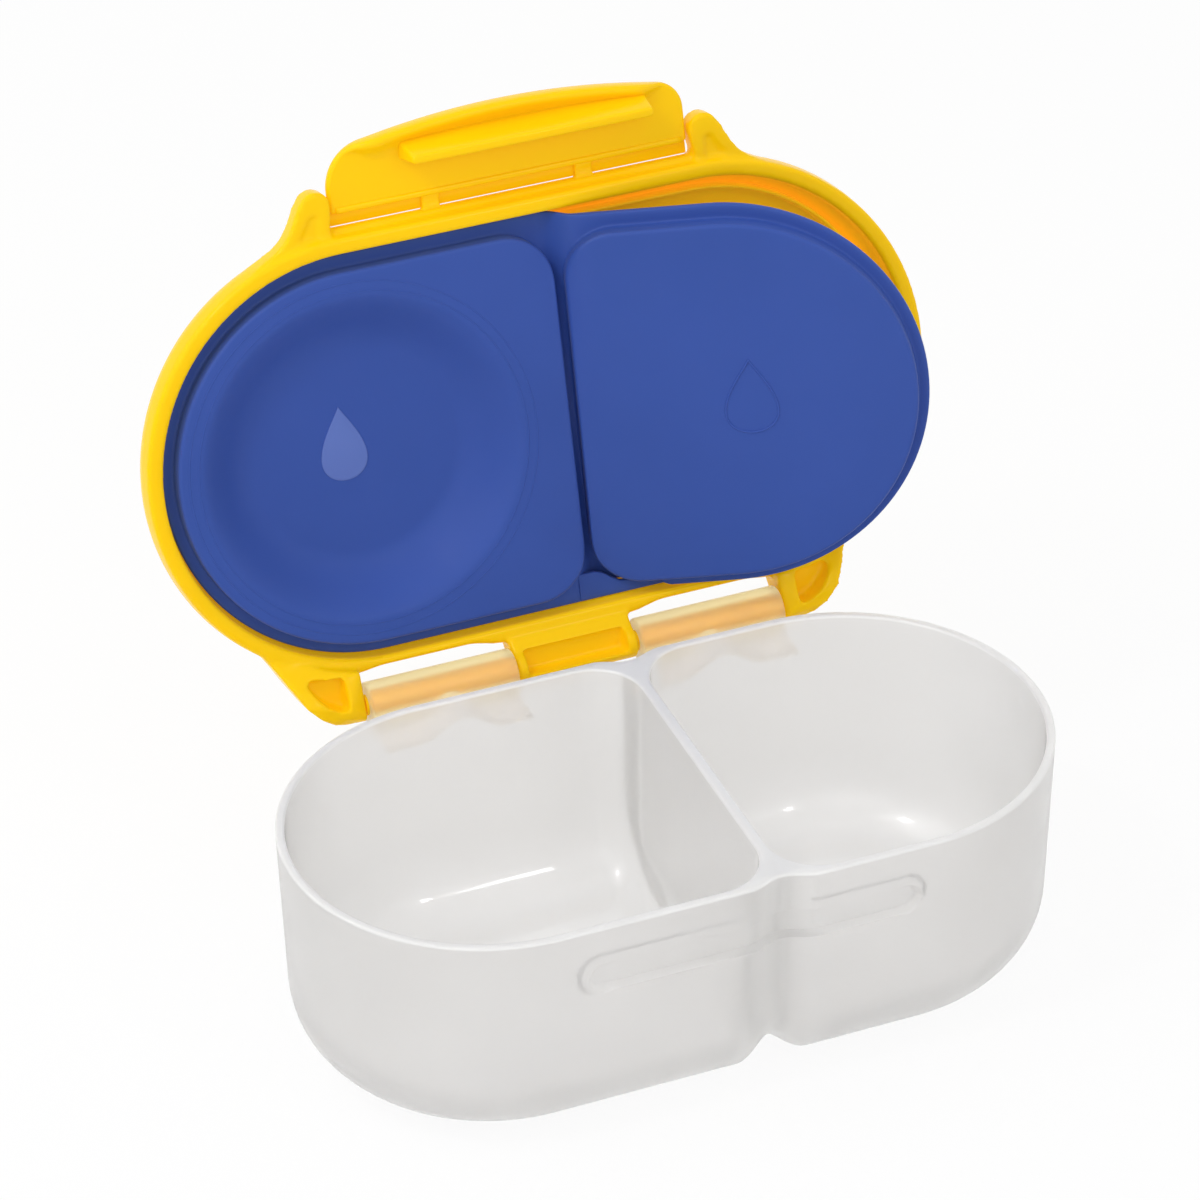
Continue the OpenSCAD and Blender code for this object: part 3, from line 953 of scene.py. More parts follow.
    def barrel(self, side: Side) -> Object:
        """Barrel with rounded ends and a bore."""
        shell = Shell()
        turn, lip = full_turn(64), self.barrel_lip
        x0, x1 = self.barrel_from, self.barrel_to
        bend = [(step_in, self.barrel_r - lip + up) for step_in, up in quarter(lip, 4)]
        profile = [(x0, self.barrel_bore), *((x0 + i, r) for i, r in bend)]
        profile += [*((x1 - i, r) for i, r in reversed(bend)), (x1, self.barrel_bore)]
        numbers = shell.loft([
            columns(side.value * x, HINGE.y + r * np.cos(turn), HINGE.z + r * np.sin(turn))
            for x, r in profile
        ])
        shell.band(numbers[-1], numbers[0])
        return shell.build(f"hinge_barrel_{side.name.lower()}_clear")

    def bracket(self, side: Side) -> Object:
        """The thin wavy plate between the wall and the barrel, which arches up in its middle."""
        shell = Shell()
        xs = np.linspace(self.barrel_from, self.barrel_to, 72)
        off = np.abs(xs - self.bracket_middle) / self.bracket_arch
        arch = 0.5 + 0.5 * np.cos(math.pi * np.clip(off, 0, 1))
        low = self.bracket_low + self.bracket_rise * arch
        high = low + self.bracket_wall
        # Both edges are buried in what the plate joins.
        y_in, y_out = self.rim_r - 1.6, HINGE.y - 1.0
        numbers = [
            shell.add(columns(side.value * xs, y, z))
            for y, z in ((y_in, low), (y_out, low), (y_out, high), (y_in, high))
        ]
        for a, b in zip(numbers, numbers[1:] + numbers[:1]):
            shell.band(a, b, closed=False)
        for end in (0, -1):
            shell.faces.append(tuple(int(n[end]) for n in numbers))
        return shell.build(f"hinge_bracket_{side.name.lower()}")

    def make(self) -> None:
        """Builds and dresses the tub and its barrels."""
        # The rooms take the polished copy. The rim takes the paler, glowing copy, which paints
        # light on it.
        body = FROSTED.dress(self.moulding(), Slot.TUB, POLISHED, RIM_PAINTED_LIGHT)
        seat(body, Body.TUB, "tub_shell", "tub_divider")
        for side in Side:
            # The barrels' warm tint and glow paint the light of the yellow pins shining through.
            barrel = CLEAR_PAINTED_PIN_GLOW.dress(self.barrel(side), Slot.TUB)
            seat(barrel, Body.TUB, f"hinge_barrel_{side.name.lower()}")
            # The bracket's paler, warmer tint and stronger glow paint the backlight and the pins'
            # warm light.
            seat(BRACKET_PAINTED_BACKLIGHT.dress(self.bracket(side), Slot.TUB), Body.TUB)


# ---------------------------------------------------------------- lid

# The solids that the lid's moulding stands for.
LID_NODES = (
    "lid_shell", "hinge_arm_left", "hinge_arm_right", "hinge_centre_block",
    "latch_guard_left", "latch_guard_right",
)

# Plans of the right-hand arm, of its pocket and of the right-hand guard, as (x, y), and the
# middle and radius of the guard's nose.
ARM_SIDE = (
    (74.6, 37.0), (72.4, 39.2), (70.6, 41.9), (68.8, 44.9), (66.6, 49.0), (64.2, 53.2),
    (61.4, 56.2), (58.6, 58.2), (55.6, 59.3), (52.4, 59.6), (51.0, 59.4), (50.6, 58.6),
)
ARM_POCKET = (
    (54.6, 48.4), (54.6, 54.8), (55.4, 55.7), (57.6, 55.0), (60.0, 53.2), (61.9, 50.9),
    (63.1, 48.4), (62.7, 47.6),
)
GUARD_NOSE = (45.6, -57.7, 3.5)
GUARD_SIDE = (
    (49.6, -58.2), (50.7, -55.8), (52.1, -53.2), (53.8, -51.0), (55.9, -49.4), (58.6, -48.0),
    (62.0, -46.2),
)


@dataclass
class Lid:
    """The yellow lid with its arms, guards, land strip and seal rib."""

    # Cap: its wall swells a little and curves into the top, and its edge hangs lower in front.
    shift: float = 0.4
    spine: float = 41.9
    edge_z: float = 54.1
    top_z: float = 66.2
    in_r: float = 46.75
    out_r: float = 50.4
    ceiling_z: float = 64.2
    in_round: float = 8.5
    edge_round: float = 0.9
    bulge: float = 0.3
    bulge_z: float = 57.6
    top_r: float = 41.6
    arch_depth: float = 1.5
    skirt: float = 0.9
    # Rib that the seal seats on, and the stretch along X where it is open.
    rib_r: float = 43.2
    rib_wall: float = 1.4
    rib_low: float = 58.9
    rib_gap: tuple[float, float] = (1.9, 27.9)
    # Strip along the front that carries the latch.
    land_half: float = 43.2
    land_y: float = -52.0
    land_z: tuple[float, float] = (56.1, 59.1)
    land_round: float = 0.8
    # Arms: radius round the hinge line, and heights at the ends of their face and their back.
    arm_r: float = 3.6
    arm_face_z: tuple[float, float] = (54.9, 48.3)
    arm_back_z: tuple[float, float] = (55.5, 62.6)
    # Guards: height of their back, of their face and of the hollow in it.
    guard_z: tuple[float, float, float] = (59.7, 54.7, 55.5)
    # Grain of the moulding, and how often it is smoothed.
    voxel: float = 0.56
    rounds: int = 4

    def _oblong(self, r: float, step: float, steps: int = 96) -> np.ndarray:
        """The lid's plan at a radius, with points that far apart on its straights."""
        s = self.spine
        return stadium(s, r, graded([-s, s], [step]) / s, steps, self.shift)

    def profile(self) -> list[tuple[float, float, float]]:
        """Section of the wall as (radius, height, bulge), closed on itself inside the plate."""
        e = self.edge_round
        spring = self.in_r - self.in_round
        out = [(36.5, self.top_z - 1.0, 0.0), (spring - 0.6, self.ceiling_z + 0.06, 0.0)]
        bend = arc(spring, self.ceiling_z - self.in_round, self.in_round, 90.0, 0.0, 13)
        out += [(r, z, 0.0) for r, z in bend]
        foot = self.edge_z + e
        out += [(self.in_r + step_in, foot - up, 0.0) for step_in, up in quarter(e)]
        out += [(self.out_r - step_in, foot - up, 0.0) for step_in, up in reversed(quarter(e))]
        for t in np.linspace(0, 1, 8)[1:]:
            z = foot + t * (self.bulge_z - foot)
            out.append((self.out_r, z, self.bulge * ramp(t, 0.0, 1.0)))
        for a in np.linspace(0, math.pi / 2, 17)[1:]:
            out.append((self.top_r + (self.out_r - self.top_r) * math.cos(a),
                        self.bulge_z + (self.top_z - self.bulge_z) * math.sin(a),
                        self.bulge * math.cos(a)))
        out.append((self.top_r - 1.2, self.top_z - 0.06, 0.0))
        return out

    def wall(self) -> Object:
        """The cap's wall, which swells above the rim and is thinned behind the hinge barrels."""
        shell = Shell()
        rings = []
        for r, z, bulge in self.profile():
            ring = self._oblong(r, 1.2)
            x, y = ring[:, 0], ring[:, 1]
            by_hinge = ramp(y, 30.0, 38.0) * ramp(np.abs(x), 60.0, 52.0)
            swollen = self._oblong(r + bulge, 1.2)
            ring = ring + (swollen - ring) * (1 - by_hinge)[:, None]
            if r > self.in_r + self.edge_round:
                span = ramp(np.abs(x), 15.0, 24.0) * ramp(np.abs(x), 52.0, 43.0)
                low = ramp(z, 61.0, 57.0)
                ring[:, 1] -= np.where(y > 30, self.arch_depth * span * low, 0)
            sunk = self.skirt * ramp(z, 58.0, 55.0) * ramp(y, 30.0, 18.0)
            rings.append(at_height(ring, z - sunk))
        numbers = shell.loft(rings)
        shell.band(numbers[-1], numbers[0])
        return shell.build("lid_wall", HINGE.opened, sharp_deg=60.0)

    def plate(self) -> Object:
        """The flat plate between the walls, whose edge lies inside them."""
        spring = self.in_r - self.in_round
        section = [
            (0.0, self.ceiling_z), (20.0, self.ceiling_z), (spring - 0.2, self.ceiling_z),
            (spring + 0.6, self.ceiling_z + 0.7), (self.top_r - 0.8, self.top_z - 0.5),
            (self.top_r - 0.2, self.top_z), (20.0, self.top_z), (0.0, self.top_z),
        ]
        shell = Shell()
        shell.loft([at_height(self._oblong(r, 2.4), z) for r, z in section])
        return shell.build("lid_plate", HINGE.opened, sharp_deg=30.0)

    def _along_wall(self, from_deg: float, to_deg: float) -> list[tuple[float, float]]:
        """Points inside the wall of the right-hand round end, by direction."""
        r = (self.in_r + self.out_r) / 2
        return arc(self.spine + self.shift, 0.0, r, from_deg, to_deg, 12)

    def _round_hinge(self, y: np.ndarray) -> np.ndarray:
        """Half the height of an arm's round end, past the hinge line."""
        past = np.clip(y - HINGE.y, 0, self.arm_r - 0.01)
        return np.sqrt(self.arm_r**2 - past**2)

    def arm_face(self, y: np.ndarray) -> np.ndarray:
        """Height of an arm's face: it sinks from the rim and goes round the hinge line."""
        high, low = self.arm_face_z
        sunk = high - (high - low) * ramp(y, 41.0, 53.5)
        return np.where(y > HINGE.y, HINGE.z - self._round_hinge(y), sunk)

    def arm_back(self, y: np.ndarray) -> np.ndarray:
        """Height of an arm's back: round the hinge line, then up the lid's wall."""
        low, high = self.arm_back_z
        up = np.minimum(low + 0.84 * (HINGE.y - y), high)
        return np.where(y > HINGE.y, HINGE.z + self._round_hinge(y), up)

    def arm(self, side: Side) -> Object:
        """Outer hinge arm that sweeps out of the round end, with its cored pocket."""
        plan = np.array(self._along_wall(80.2, 49.0) + list(ARM_SIDE))
        pocket = np.array(ARM_POCKET)
        rings = [
            (plan, self.arm_back(plan[:, 1])),
            (plan, self.arm_face(plan[:, 1])),
            (pocket, self.arm_face(pocket[:, 1])),
            (pocket, HINGE.z + 1.4),
        ]
        return self._solid(f"arm_{side.name.lower()}", side, rings)

    def guard(self, side: Side) -> Object:
        """Round-nosed guard beside the latch that flows into the lid's edge."""
        nose = arc(*GUARD_NOSE, 180.0, 335.0, 12)
        plan = np.array(nose + list(GUARD_SIDE) + self._along_wall(-68.0, -88.9))
        core = np.array([(45.2, -56.2), (47.2, -56.2), (50.6, -50.6), (45.2, -50.6)])
        back, face, hollow = self.guard_z
        rings = [(plan, back), (plan, face), (core, face), (core, hollow)]
        return self._solid(f"guard_{side.name.lower()}", side, rings)

    @staticmethod
    def _solid(
        name: str, side: Side, rings: Sequence[tuple[np.ndarray, np.ndarray | float]]
    ) -> Object:
        """Solid from a plan's back and face and from a hollow's mouth and floor.

        Args:
            name: Its name.
            side: Right as drawn, or left in mirror image.
            rings: Back, face, mouth and floor, each as plan points and their heights.

        Returns:
            The solid, turned open.
        """
        shell = Shell()
        back, face, mouth, floor = (
            shell.add(at_height(plan * np.array([side.value, 1]), z)) for plan, z in rings
        )
        shell.band(back, face)
        shell.band(mouth, floor)
        for loops in ([back], [face, mouth], [floor]):
            shell.fill(loops)
        return shell.build(name, HINGE.opened)

    def moulding(self) -> Object:
        """Wall, land strip, arms, centre block and guards grown into one moulding."""
        drawn = [self.wall(), self.land()]
        drawn += [make(side) for side in Side for make in (self.arm, self.guard)]
        block = bpy.data.objects["hinge_centre_block"]
        piece = softened([*drawn, block], "lid_moulding", self.voxel, self.rounds)
        for solid in drawn:
            mesh = solid.data
            bpy.data.objects.remove(solid)
            bpy.data.meshes.remove(mesh)
        # Faces inside the cap, a hair past its wall and above its edge, take the other finish,
        # whose stronger glow is painted light from behind.
        centres = np.array([face.center for face in piece.data.polygons]) / MM
        x, y, z = HINGE.closed(centres).T
        r = np.hypot(np.maximum(np.abs(x - self.shift) - self.spine, 0), y)
        inside = (r < self.in_r + 0.3) & (z > self.edge_z + 0.5)
        piece.data.polygons.foreach_set("material_index", inside.astype(int).tolist())
        return piece

    def rib(self) -> Object:
        """The rib that the seal seats on, open where the peeled side lifts into the lid."""
        ring = self._oblong(self.rib_r, 2.0, 72)
        left, right = self.rib_gap
        gap = (ring[:, 0] > left) & (ring[:, 0] < right) & (ring[:, 1] > 0)
        kept = np.roll(ring, -int(np.argmax(gap)), axis=0)[int(gap.sum()):]
        line = at_height(kept, (self.rib_low + self.ceiling_z) / 2)
        return BEADS.lay(
            "lid_seal_rib", [line], self.rib_wall / 2,
            (self.ceiling_z - self.rib_low) / 2 + 0.2, BACKLIT_YELLOW_PAINTED, HINGE.opened, closed=False,
        )

    def land(self) -> Object:
        """Strip along the front that carries the latch, with a rounded front edge."""
        low, high = self.land_z
        y_out, y_in, r = self.land_y, -self.out_r + 1.6, self.land_round
        section = [
            (y_in, low), *arc(y_out + r, low + r, r, 270.0, 180.0, 6),
            *arc(y_out + r, high - r, r, 180.0, 90.0, 6), (y_in, high),
        ]
        xs = np.linspace(-self.land_half, self.land_half, 60)
        rings = [columns(x, *np.array(section).T) for x in xs]
        return Shell().capped(rings).build("lid_land_strip", HINGE.opened)

    def make(self) -> None:
        """Builds and dresses the lid."""
        body = YELLOW.dress(self.moulding(), Slot.LID, BACKLIT_YELLOW_PAINTED)
        seat(body, Body.LID, *LID_NODES)
        # The plate and the rib take the copy whose stronger orange glow is painted light from
        # behind.
        for piece in (self.plate(), self.rib()):
            seat(BACKLIT_YELLOW_PAINTED.dress(piece, Slot.LID), Body.LID)


# ---------------------------------------------------------------- latch


@dataclass
class Latch:
    """The latch flap: plate with a crowned lip, hook bar and two living-hinge webs."""

    # Plate, with the radius of its crowned edge, of its left and right corners and of those
    # at the webs.
    half: float = 42.0
    near_y: float = -55.0
    far_y: float = -73.0
    crown: float = 187.0
    corners: tuple[float, float] = (10.5, 6.5)
    near_round: float = 1.0
    low_z: float = 56.6
    high_z: float = 58.8
    lip: float = 3.0
    # Line that the webs bend on, and the webs.
    bend_y: float = -53.5
    bend_z: float = 57.7
    web_width: float = 4.0
    web_wall: float = 2.1
    web_x: tuple[float, float] = (-18.8, 17.2)
    web_y: tuple[float, float] = (-51.4, -55.8)
    bar_x: tuple[float, float] = (-25.0, 33.0)
    bar_round: float = 0.9
    # Floors of the slots: how near they come to the lid, into the webs and to the ends.
    floor_y: float = -52.15
    floor_z: tuple[float, float] = (58.1, 58.65)
    floor_reach: float = 0.4
    floor_gap: float = 0.1

    def _end(self, corner: float) -> list[tuple[float, float]]:
        """The plate's left end with its outer corner, from the near edge to the crowned one."""
        edge_x = self.half - corner
        shoulder = self.crown - math.sqrt(self.crown**2 - edge_x**2)
        corner_y = self.far_y + shoulder + corner
        tilt = math.degrees(math.asin(edge_x / self.crown))
        small = self.near_round
        out = arc(small - self.half, self.near_y - small, small, 90.0, 180.0, 6)
        out += [(-self.half, y) for y in np.linspace(self.near_y - small, corner_y, 8)[1:-1]]
        return out + arc(-edge_x, corner_y, corner, 180.0, 270.0 - tilt, 18)

    def outline(self) -> np.ndarray:
        """Plate's outline, counted round from its left near corner."""
        left, right = (self._end(corner) for corner in self.corners)
        first, last = self.corners[0] - self.half, self.half - self.corners[1]
        crown = [
            (x, self.far_y + self.crown - math.sqrt(self.crown**2 - x * x) - 0.08)
            for x in np.linspace(first, last, 70)[1:-1]
        ]
        straight = self.half - self.near_round
        near = [(x, self.near_y) for x in np.linspace(straight, -straight, 60)[1:-1]]
        return np.array(left + crown + [(-x, y) for x, y in reversed(right)] + near)

    def plate(self) -> Object:
        """The plate with its rounded edge and crowned lip."""
        line = self.outline()
        ahead = np.roll(line, -1, 0) - np.roll(line, 1, 0)
        normal = columns(-ahead[:, 1], ahead[:, 0])
        normal /= np.linalg.norm(normal, axis=1)[:, None]
        middle = line.mean(0)
        if ((middle - line) * normal).sum() < 0:
            normal = -normal
        fade = ramp(np.abs(line[:, 0]), 39.0, 31.0) * (line[:, 1] < -62)
        low, high, tip = self.low_z, self.high_z, self.low_z - self.lip
        rings = []
        # How far in and how high, at the lip and then where there is no lip.
        for inset, z, plain_inset, plain_z in (
            (5.6, low, 0.95, low), (4.8, low - 0.1, 0.85, low), (4.0, low - 0.45, 0.75, low),
            (3.2, low - 1.05, 0.62, low + 0.02), (2.5, tip + 1.1, 0.5, low + 0.07),
            (2.0, tip + 0.45, 0.38, low + 0.15), (1.5, tip + 0.08, 0.25, low + 0.27),
            (0.9, tip + 0.02, 0.14, low + 0.42), (0.3, tip + 0.4, 0.05, low + 0.6),
            (0.0, tip + 1.1, 0.0, low + 0.8),
            *((i, high - down, i, high - down) for i, down in (
                (0.0, 0.8), (0.06, 0.5), (0.24, 0.24), (0.5, 0.06), (0.8, 0.0),
            )),
        ):
            depth = plain_inset + (inset - plain_inset) * fade
            height = plain_z + (z - plain_z) * fade
            rings.append(at_height(line + normal * depth[:, None], height))
        return Shell().capped(rings).build("latch_flap_plate", HINGE.opened)

    def web(self, x: float, word: str) -> Object:
        """Thin strip that the latch bends on, from the land strip to the plate."""
        half, wall = self.web_width / 2, self.web_wall / 2
        turn = full_turn(24)
        across, up = squared(np.cos(turn), 0.35), squared(np.sin(turn), 0.5)
        rings = []
        for y in np.linspace(*self.web_y, 25):
            off = abs(y - self.bend_y)
            waist = 1 - 0.3 * math.exp(-((off / 0.9) ** 2))
            flare = 1 + 0.25 * ramp(off, 0.9, 1.9)
            rings.append(columns(x + half * flare * across, y, self.bend_z + wall * waist * up))
        return Shell().capped(rings).build(f"latch_web_{word}_strip", HINGE.opened)

    def bar(self) -> Object:
        """Ramped hook bar with rounded edges, narrower at its tip and at its ends."""
        left, right = self.bar_x
        rings = []
        for z, near, far, end in (
            (57.2, -64.0, -69.8, 0.0), (56.4, -64.1, -69.0, 0.1), (56.0, -64.15, -68.6, 0.2),
            (52.0, -64.3, -67.3, 0.5), (49.4, -64.4, -66.6, 0.8), (48.9, -64.55, -66.4, 1.0),
            (48.7, -64.85, -66.1, 1.4),
        ):
            half = (right - left) / 2 - end
            rings.append(self._bar_ring((left + right) / 2, half, near, far, z))
        return Shell().capped(rings).build("latch_hook_bar_ramped", HINGE.opened, sharp_deg=60.0)

    def _bar_ring(
        self, middle: float, half: float, near: float, far: float, z: float
    ) -> np.ndarray:
        """Ring of the bar: a long box whose corners are rounded."""
        deep = (near - far) / 2
        r = min(self.bar_round, deep * 0.9)
        ring: list[tuple[float, float]] = []
        for start, sx, sy in ((0.0, 1, 1), (90.0, -1, 1), (180.0, -1, -1), (270.0, 1, -1)):
            x, y = middle + sx * (half - r), (near + far) / 2 + sy * (deep - r)
            ring += arc(x, y, r, start, start + 90.0, 6)
        return at_height(np.array(ring), z)

    def slot_floors(self) -> Object:
        """Thin strips behind the slots, which leave only a hair gap at the lid."""
        shell = Shell()
        stops = [-self.half, *self.web_x, self.half]
        y_in, y_out, (low, high) = self.near_y - 0.4, self.floor_y, self.floor_z
        section = np.array([
            (y_in, low), (y_out - 0.15, low), (y_out, low + 0.1), (y_out, high - 0.1),
            (y_out - 0.15, high), (y_in, high),
        ])
        by_web = self.web_width / 2 - self.floor_reach
        for left, right in zip(stops, stops[1:]):
            x0 = left + (self.floor_gap if left == -self.half else by_web)
            x1 = right - (self.floor_gap if right == self.half else by_web)
            shell.capped([columns(x, *section.T) for x in np.linspace(x0, x1, 12)])
        return shell.build("latch_slot_floors", HINGE.opened)

    def ridge(self) -> Object:
        """Rounded ridge along the plate's near edge."""
        xs = np.linspace(-self.half + 1.4, self.half - 1.4, 60)
        line = columns(xs, self.near_y - 0.75, self.low_z)
        return BEADS.lay("latch_ridge", [line], 0.7, 0.45, YELLOW, HINGE.opened, closed=False)

    def make(self) -> None:
        """Builds and dresses the latch."""
        for piece, *nodes in (
            (self.plate(), "latch_plate"), (self.bar(), "latch_hook_bar"),
            (self.slot_floors(),), (self.ridge(),),
        ):
            seat(YELLOW.dress(piece, Slot.LID), Body.LATCH, *nodes)
        start, end = HINGE.opened(np.array([
            [0.0, self.bend_y + off, self.bend_z] for off in (0.9, -0.9)
        ])) * MM
        for x, word in zip(self.web_x, ("left", "right")):
            web = YELLOW.dress(self.web(x, word), Slot.LID)
            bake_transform(web)
            stand_for(web, f"latch_web_{word}")


# ---------------------------------------------------------------- seal


@dataclass
class Seal:
    """The silicone seal: a sheet with a dished left pad and a flat right pad."""

    # Sheet.
    shift: float = 0.4
    spine: float = 41.9
    edge_r: float = 46.1
    low_z: float = 57.35
    high_z: float = 58.85
    wall: float = 1.5
    corner_run: float = 6.0
    # Pads, with the places of their faces at the dividing wall.
    pad_spine: float = 42.65
    pad_r: float = 42.8
    pad_face_z: float = 53.05
    pad_edges: tuple[float, float] = (6.5, 9.3)
    pad_round: float = 0.8
    pad_corner: float = 12.0
    # Corner of the flange that stays in the lid behind the fold, and its rounded tip.
    kept_x: tuple[float, float] = (21.0, 27.5)
    kept_y: float = 43.2
    kept_tip: tuple[float, float] = (25.2, 26.4)
    # Round dish in the left pad.
    dish_x: float = -42.25
    dish_r: float = 37.5
    dish_flat_r: float = 23.5
    dish_depth: float = 8.0

    def pad(self, side: Side) -> RoomOutline:
        """Outline of a pad at its foot."""
        face = self.pad_edges[0 if side is Side.LEFT else 1]
        reach = self.pad_spine + side.value * (self.shift - face)
        return RoomOutline(side, face, reach, self.pad_r, self.pad_corner)

    def edge(self, side: Side, inset: float, z: float, flat_z: float) -> np.ndarray:
        """Ring of one half of the sheet: its free edge set in, its fold line kept.

        Args:
            side: Which half.
            inset: How far in from the free edge.
            z: Height of the free edge.
            flat_z: Height of the sheet's face along the fold line.

        Returns:
            Points in the order of the pad's outline.
        """
        pad = self.pad(side)
        r = self.edge_r - inset
        reach = self.spine + side.value * (self.shift - FOLD.x)
        run = self.corner_run
        end = np.linspace(math.pi / 2, -math.pi / 2, pad.end_steps + 1)
        line = np.linspace(reach, run, pad.line_steps + 1)[1:-1]
        half = pad.corner_steps // 2
        along = np.linspace(run, 0, half + 1)
        down = np.linspace(r, self.edge_r - run, half + 1)[1:]
        face = np.linspace(-(self.edge_r - run), self.edge_r - run, pad.face_steps + 1)[1:-1]
        u, y, height = np.concatenate([
            columns(reach + r * np.cos(end), r * np.sin(end), z),
            columns(line, -r, z),
            columns(along, -r, z),
            columns(0.0, -down, flat_z),
            columns(0.0, face, flat_z),
            columns(0.0, down[::-1], flat_z),
            columns(along[::-1], r, z),
            columns(line[::-1], r, z),
        ]).T
        return columns(FOLD.x + side.value * u, y, height)

    def dish_rings(self, outline: np.ndarray, lift: float) -> list[np.ndarray]:
        """Rings of the round dish, matched by direction to the pad's outline.

        Args:
            outline: Ring of the pad's face.
            lift: How much higher the skin lies than the front one.

        Returns:
            Rings from the dish's lip to its middle.
        """
        arm = outline[:, :2] - np.array([self.dish_x, 0.0])
        arm /= np.linalg.norm(arm, axis=1)[:, None]
        rim, floor_r, top = self.dish_r, self.dish_flat_r, self.pad_face_z + lift
        # Shares of the way down the dish's side, closer together at its lip.
        side = (-0.06, 0.0, 0.05, 0.1, 0.17, *np.arange(0.25, 0.9, 0.1), 0.93, 1.0, 1.06)
        rings = [
            (rim + (floor_r - rim) * t, top + self.dish_depth * self.dish_shape(t)) for t in side
        ]
        rings += [(r, top + self.dish_depth) for r in (18.0, 10.0, 4.0, 0.0)]
        return [at_height(np.array([self.dish_x, 0.0]) + arm * r, z) for r, z in rings]

    @staticmethod
    def dish_shape(t: float) -> float:
        """Depth of the dish's side: a short lip, then a round bowl that runs out flat."""
        t = min(max(t, 0.0), 1.0)
        return float(math.sin(t * math.pi / 2) ** 1.5)

    def half(self, shell: Shell, side: Side) -> None:
        """Adds one half of the seal, front and back skins in one."""
        pad, low, high = self.pad(side), self.low_z, self.high_z
        face, bend, wall = self.pad_face_z, self.pad_round, self.wall
        front = [
            self.edge(side, inset, low + up, low)
            for inset, up in ((0.0, 0.75), (0.0, 0.45), (0.13, 0.13), (0.45, 0.0))
        ]
        front += self.flange(front[-1], pad.even(-0.5, low))
        front += [
            pad.even(inset, z) for inset, z in (
                (-0.16, low - 0.1), (0.0, low - 0.4), (0.0, face + 2.4), (0.0, face + bend),
                *((i, face + bend - up) for i, up in quarter(bend, 6)[1:]), (1.6, face),
            )
        ]
        back = [
            self.edge(side, inset, high - down, high)
            for inset, down in ((0.0, 0.45), (0.13, 0.13), (0.45, 0.0))
        ]
        back += self.flange(back[-1], pad.even(wall - 0.5, high))
        back += [
            pad.even(wall, high - 0.5), pad.even(wall, face + wall + 0.8),
            pad.even(wall + 0.8, face + wall),
        ]
        if side is Side.LEFT:
            front += self.dish_rings(front[-1], 0.0)
            back += self.dish_rings(back[-1], wall)
        else:
            front, back = (
                [self.trimmed(ring) for ring in (*skin, *self.inward(skin[-1]))]
                for skin in (front, back)
            )
        outer = shell.loft(front)
        inner = shell.loft(back)
        shell.band(outer[0], inner[0])

    @staticmethod
    def flange(free: np.ndarray, foot: np.ndarray) -> list[np.ndarray]:
        """Rings from the sheet's free edge, which is left out, to the foot of a pad."""
        return [*(free + (foot - free) * t for t in (0.25, 0.5, 0.75)), foot]

    def trimmed(self, ring: np.ndarray) -> np.ndarray:
        """Takes off the flat side's flange where it stays behind in the lid, by the hinge."""
        free = ramp(ring[:, 0], *self.kept_x)
        limit = self.kept_y + (self.edge_r - self.kept_y) * free
        out = ring.copy()
        out[:, 1] = np.where(ring[:, 0] > FOLD.x + 0.2, np.minimum(ring[:, 1], limit), ring[:, 1])
        return out

    def kept_flange(self) -> Object:
        """The strip of flange behind the fold that stays in the lid, down to a rounded end."""
        mid_z, half_z = (self.low_z + self.high_z) / 2, (self.high_z - self.low_z) / 2
        y_out = self.edge_r
        turn = full_turn(28)
        across, up = (squared(wave, 0.4) for wave in (np.cos(turn), np.sin(turn)))
        round_from, round_to = self.kept_tip
        rings = []
        for x in graded([5.0, 19.0, round_to], [2.0, 0.35]):
            y_in = self.kept_y + 0.1 - 3.6 * ramp(x, 16.0, 9.0)
            inner = y_in + (y_out - 1.4 - y_in) * ramp(x, 18.0, 26.0)
            past = max(0.0, (x - round_from) / (round_to - round_from))
            tip = math.sqrt(max(0.0, 1 - past**2))
            y = (inner + y_out) / 2 + (y_out - inner) / 2 * tip * across
            rings.append(columns(x, y, mid_z + half_z * max(tip, 0.02) * up))
        return Shell().capped(rings).build("seal_kept_flange", HINGE.opened)

    @staticmethod
    def inward(base: np.ndarray) -> list[np.ndarray]:
        """Rings from a ring of a flat face towards the middle of that face."""
        spot = np.array([base[:, 0].mean(), 0.0, base[0, 2]])
        return [spot + (base - spot) * share for share in (0.9, 0.7, 0.45, 0.2, 0.0)]

    @staticmethod
    def inside(points: np.ndarray) -> bool:
        """Tells whether a face lies in the plane where the two halves meet."""
        return bool(np.all(np.abs(points[:, 0] - FOLD.x) < 1e-6))

    @staticmethod
    def place(points: np.ndarray) -> np.ndarray:
        """Peels the flat side out and turns the seal open with the lid."""
        return HINGE.opened(FOLD.peeled(points))

    @staticmethod
    def drop(centre: tuple[float, float], width: float, length: float) -> np.ndarray:
        """Outline of a water drop whose tip looks towards the latch.

        Args:
            centre: Middle of the drop.
            width: Its greatest width.
            length: From the tip to the round end.

        Returns:
            Points (x, y).
        """
        t = full_turn(96)
        across = np.sin(t) * np.sin(t / 2) ** 1.35
        across = across / np.abs(across).max() * width / 2
        return columns(centre[0] + across, centre[1] - np.cos(t) * length / 2)

    def pale_drop(self) -> Object:
        """The paler drop let into the dish's floor."""
        z = self.pad_face_z + self.dish_depth
        line = self.drop((-44.8, -2.1), 10.7, 17.2)
        middle = line.mean(0)
        rings = [
            at_height(middle + (line - middle) * share, z + up)
            for share, up in ((1.0, 0.2), (1.0, -0.12), (0.985, -0.2), (0.95, -0.24))
        ]
        return Shell().capped(rings).build("seal_drop_pale", self.place)

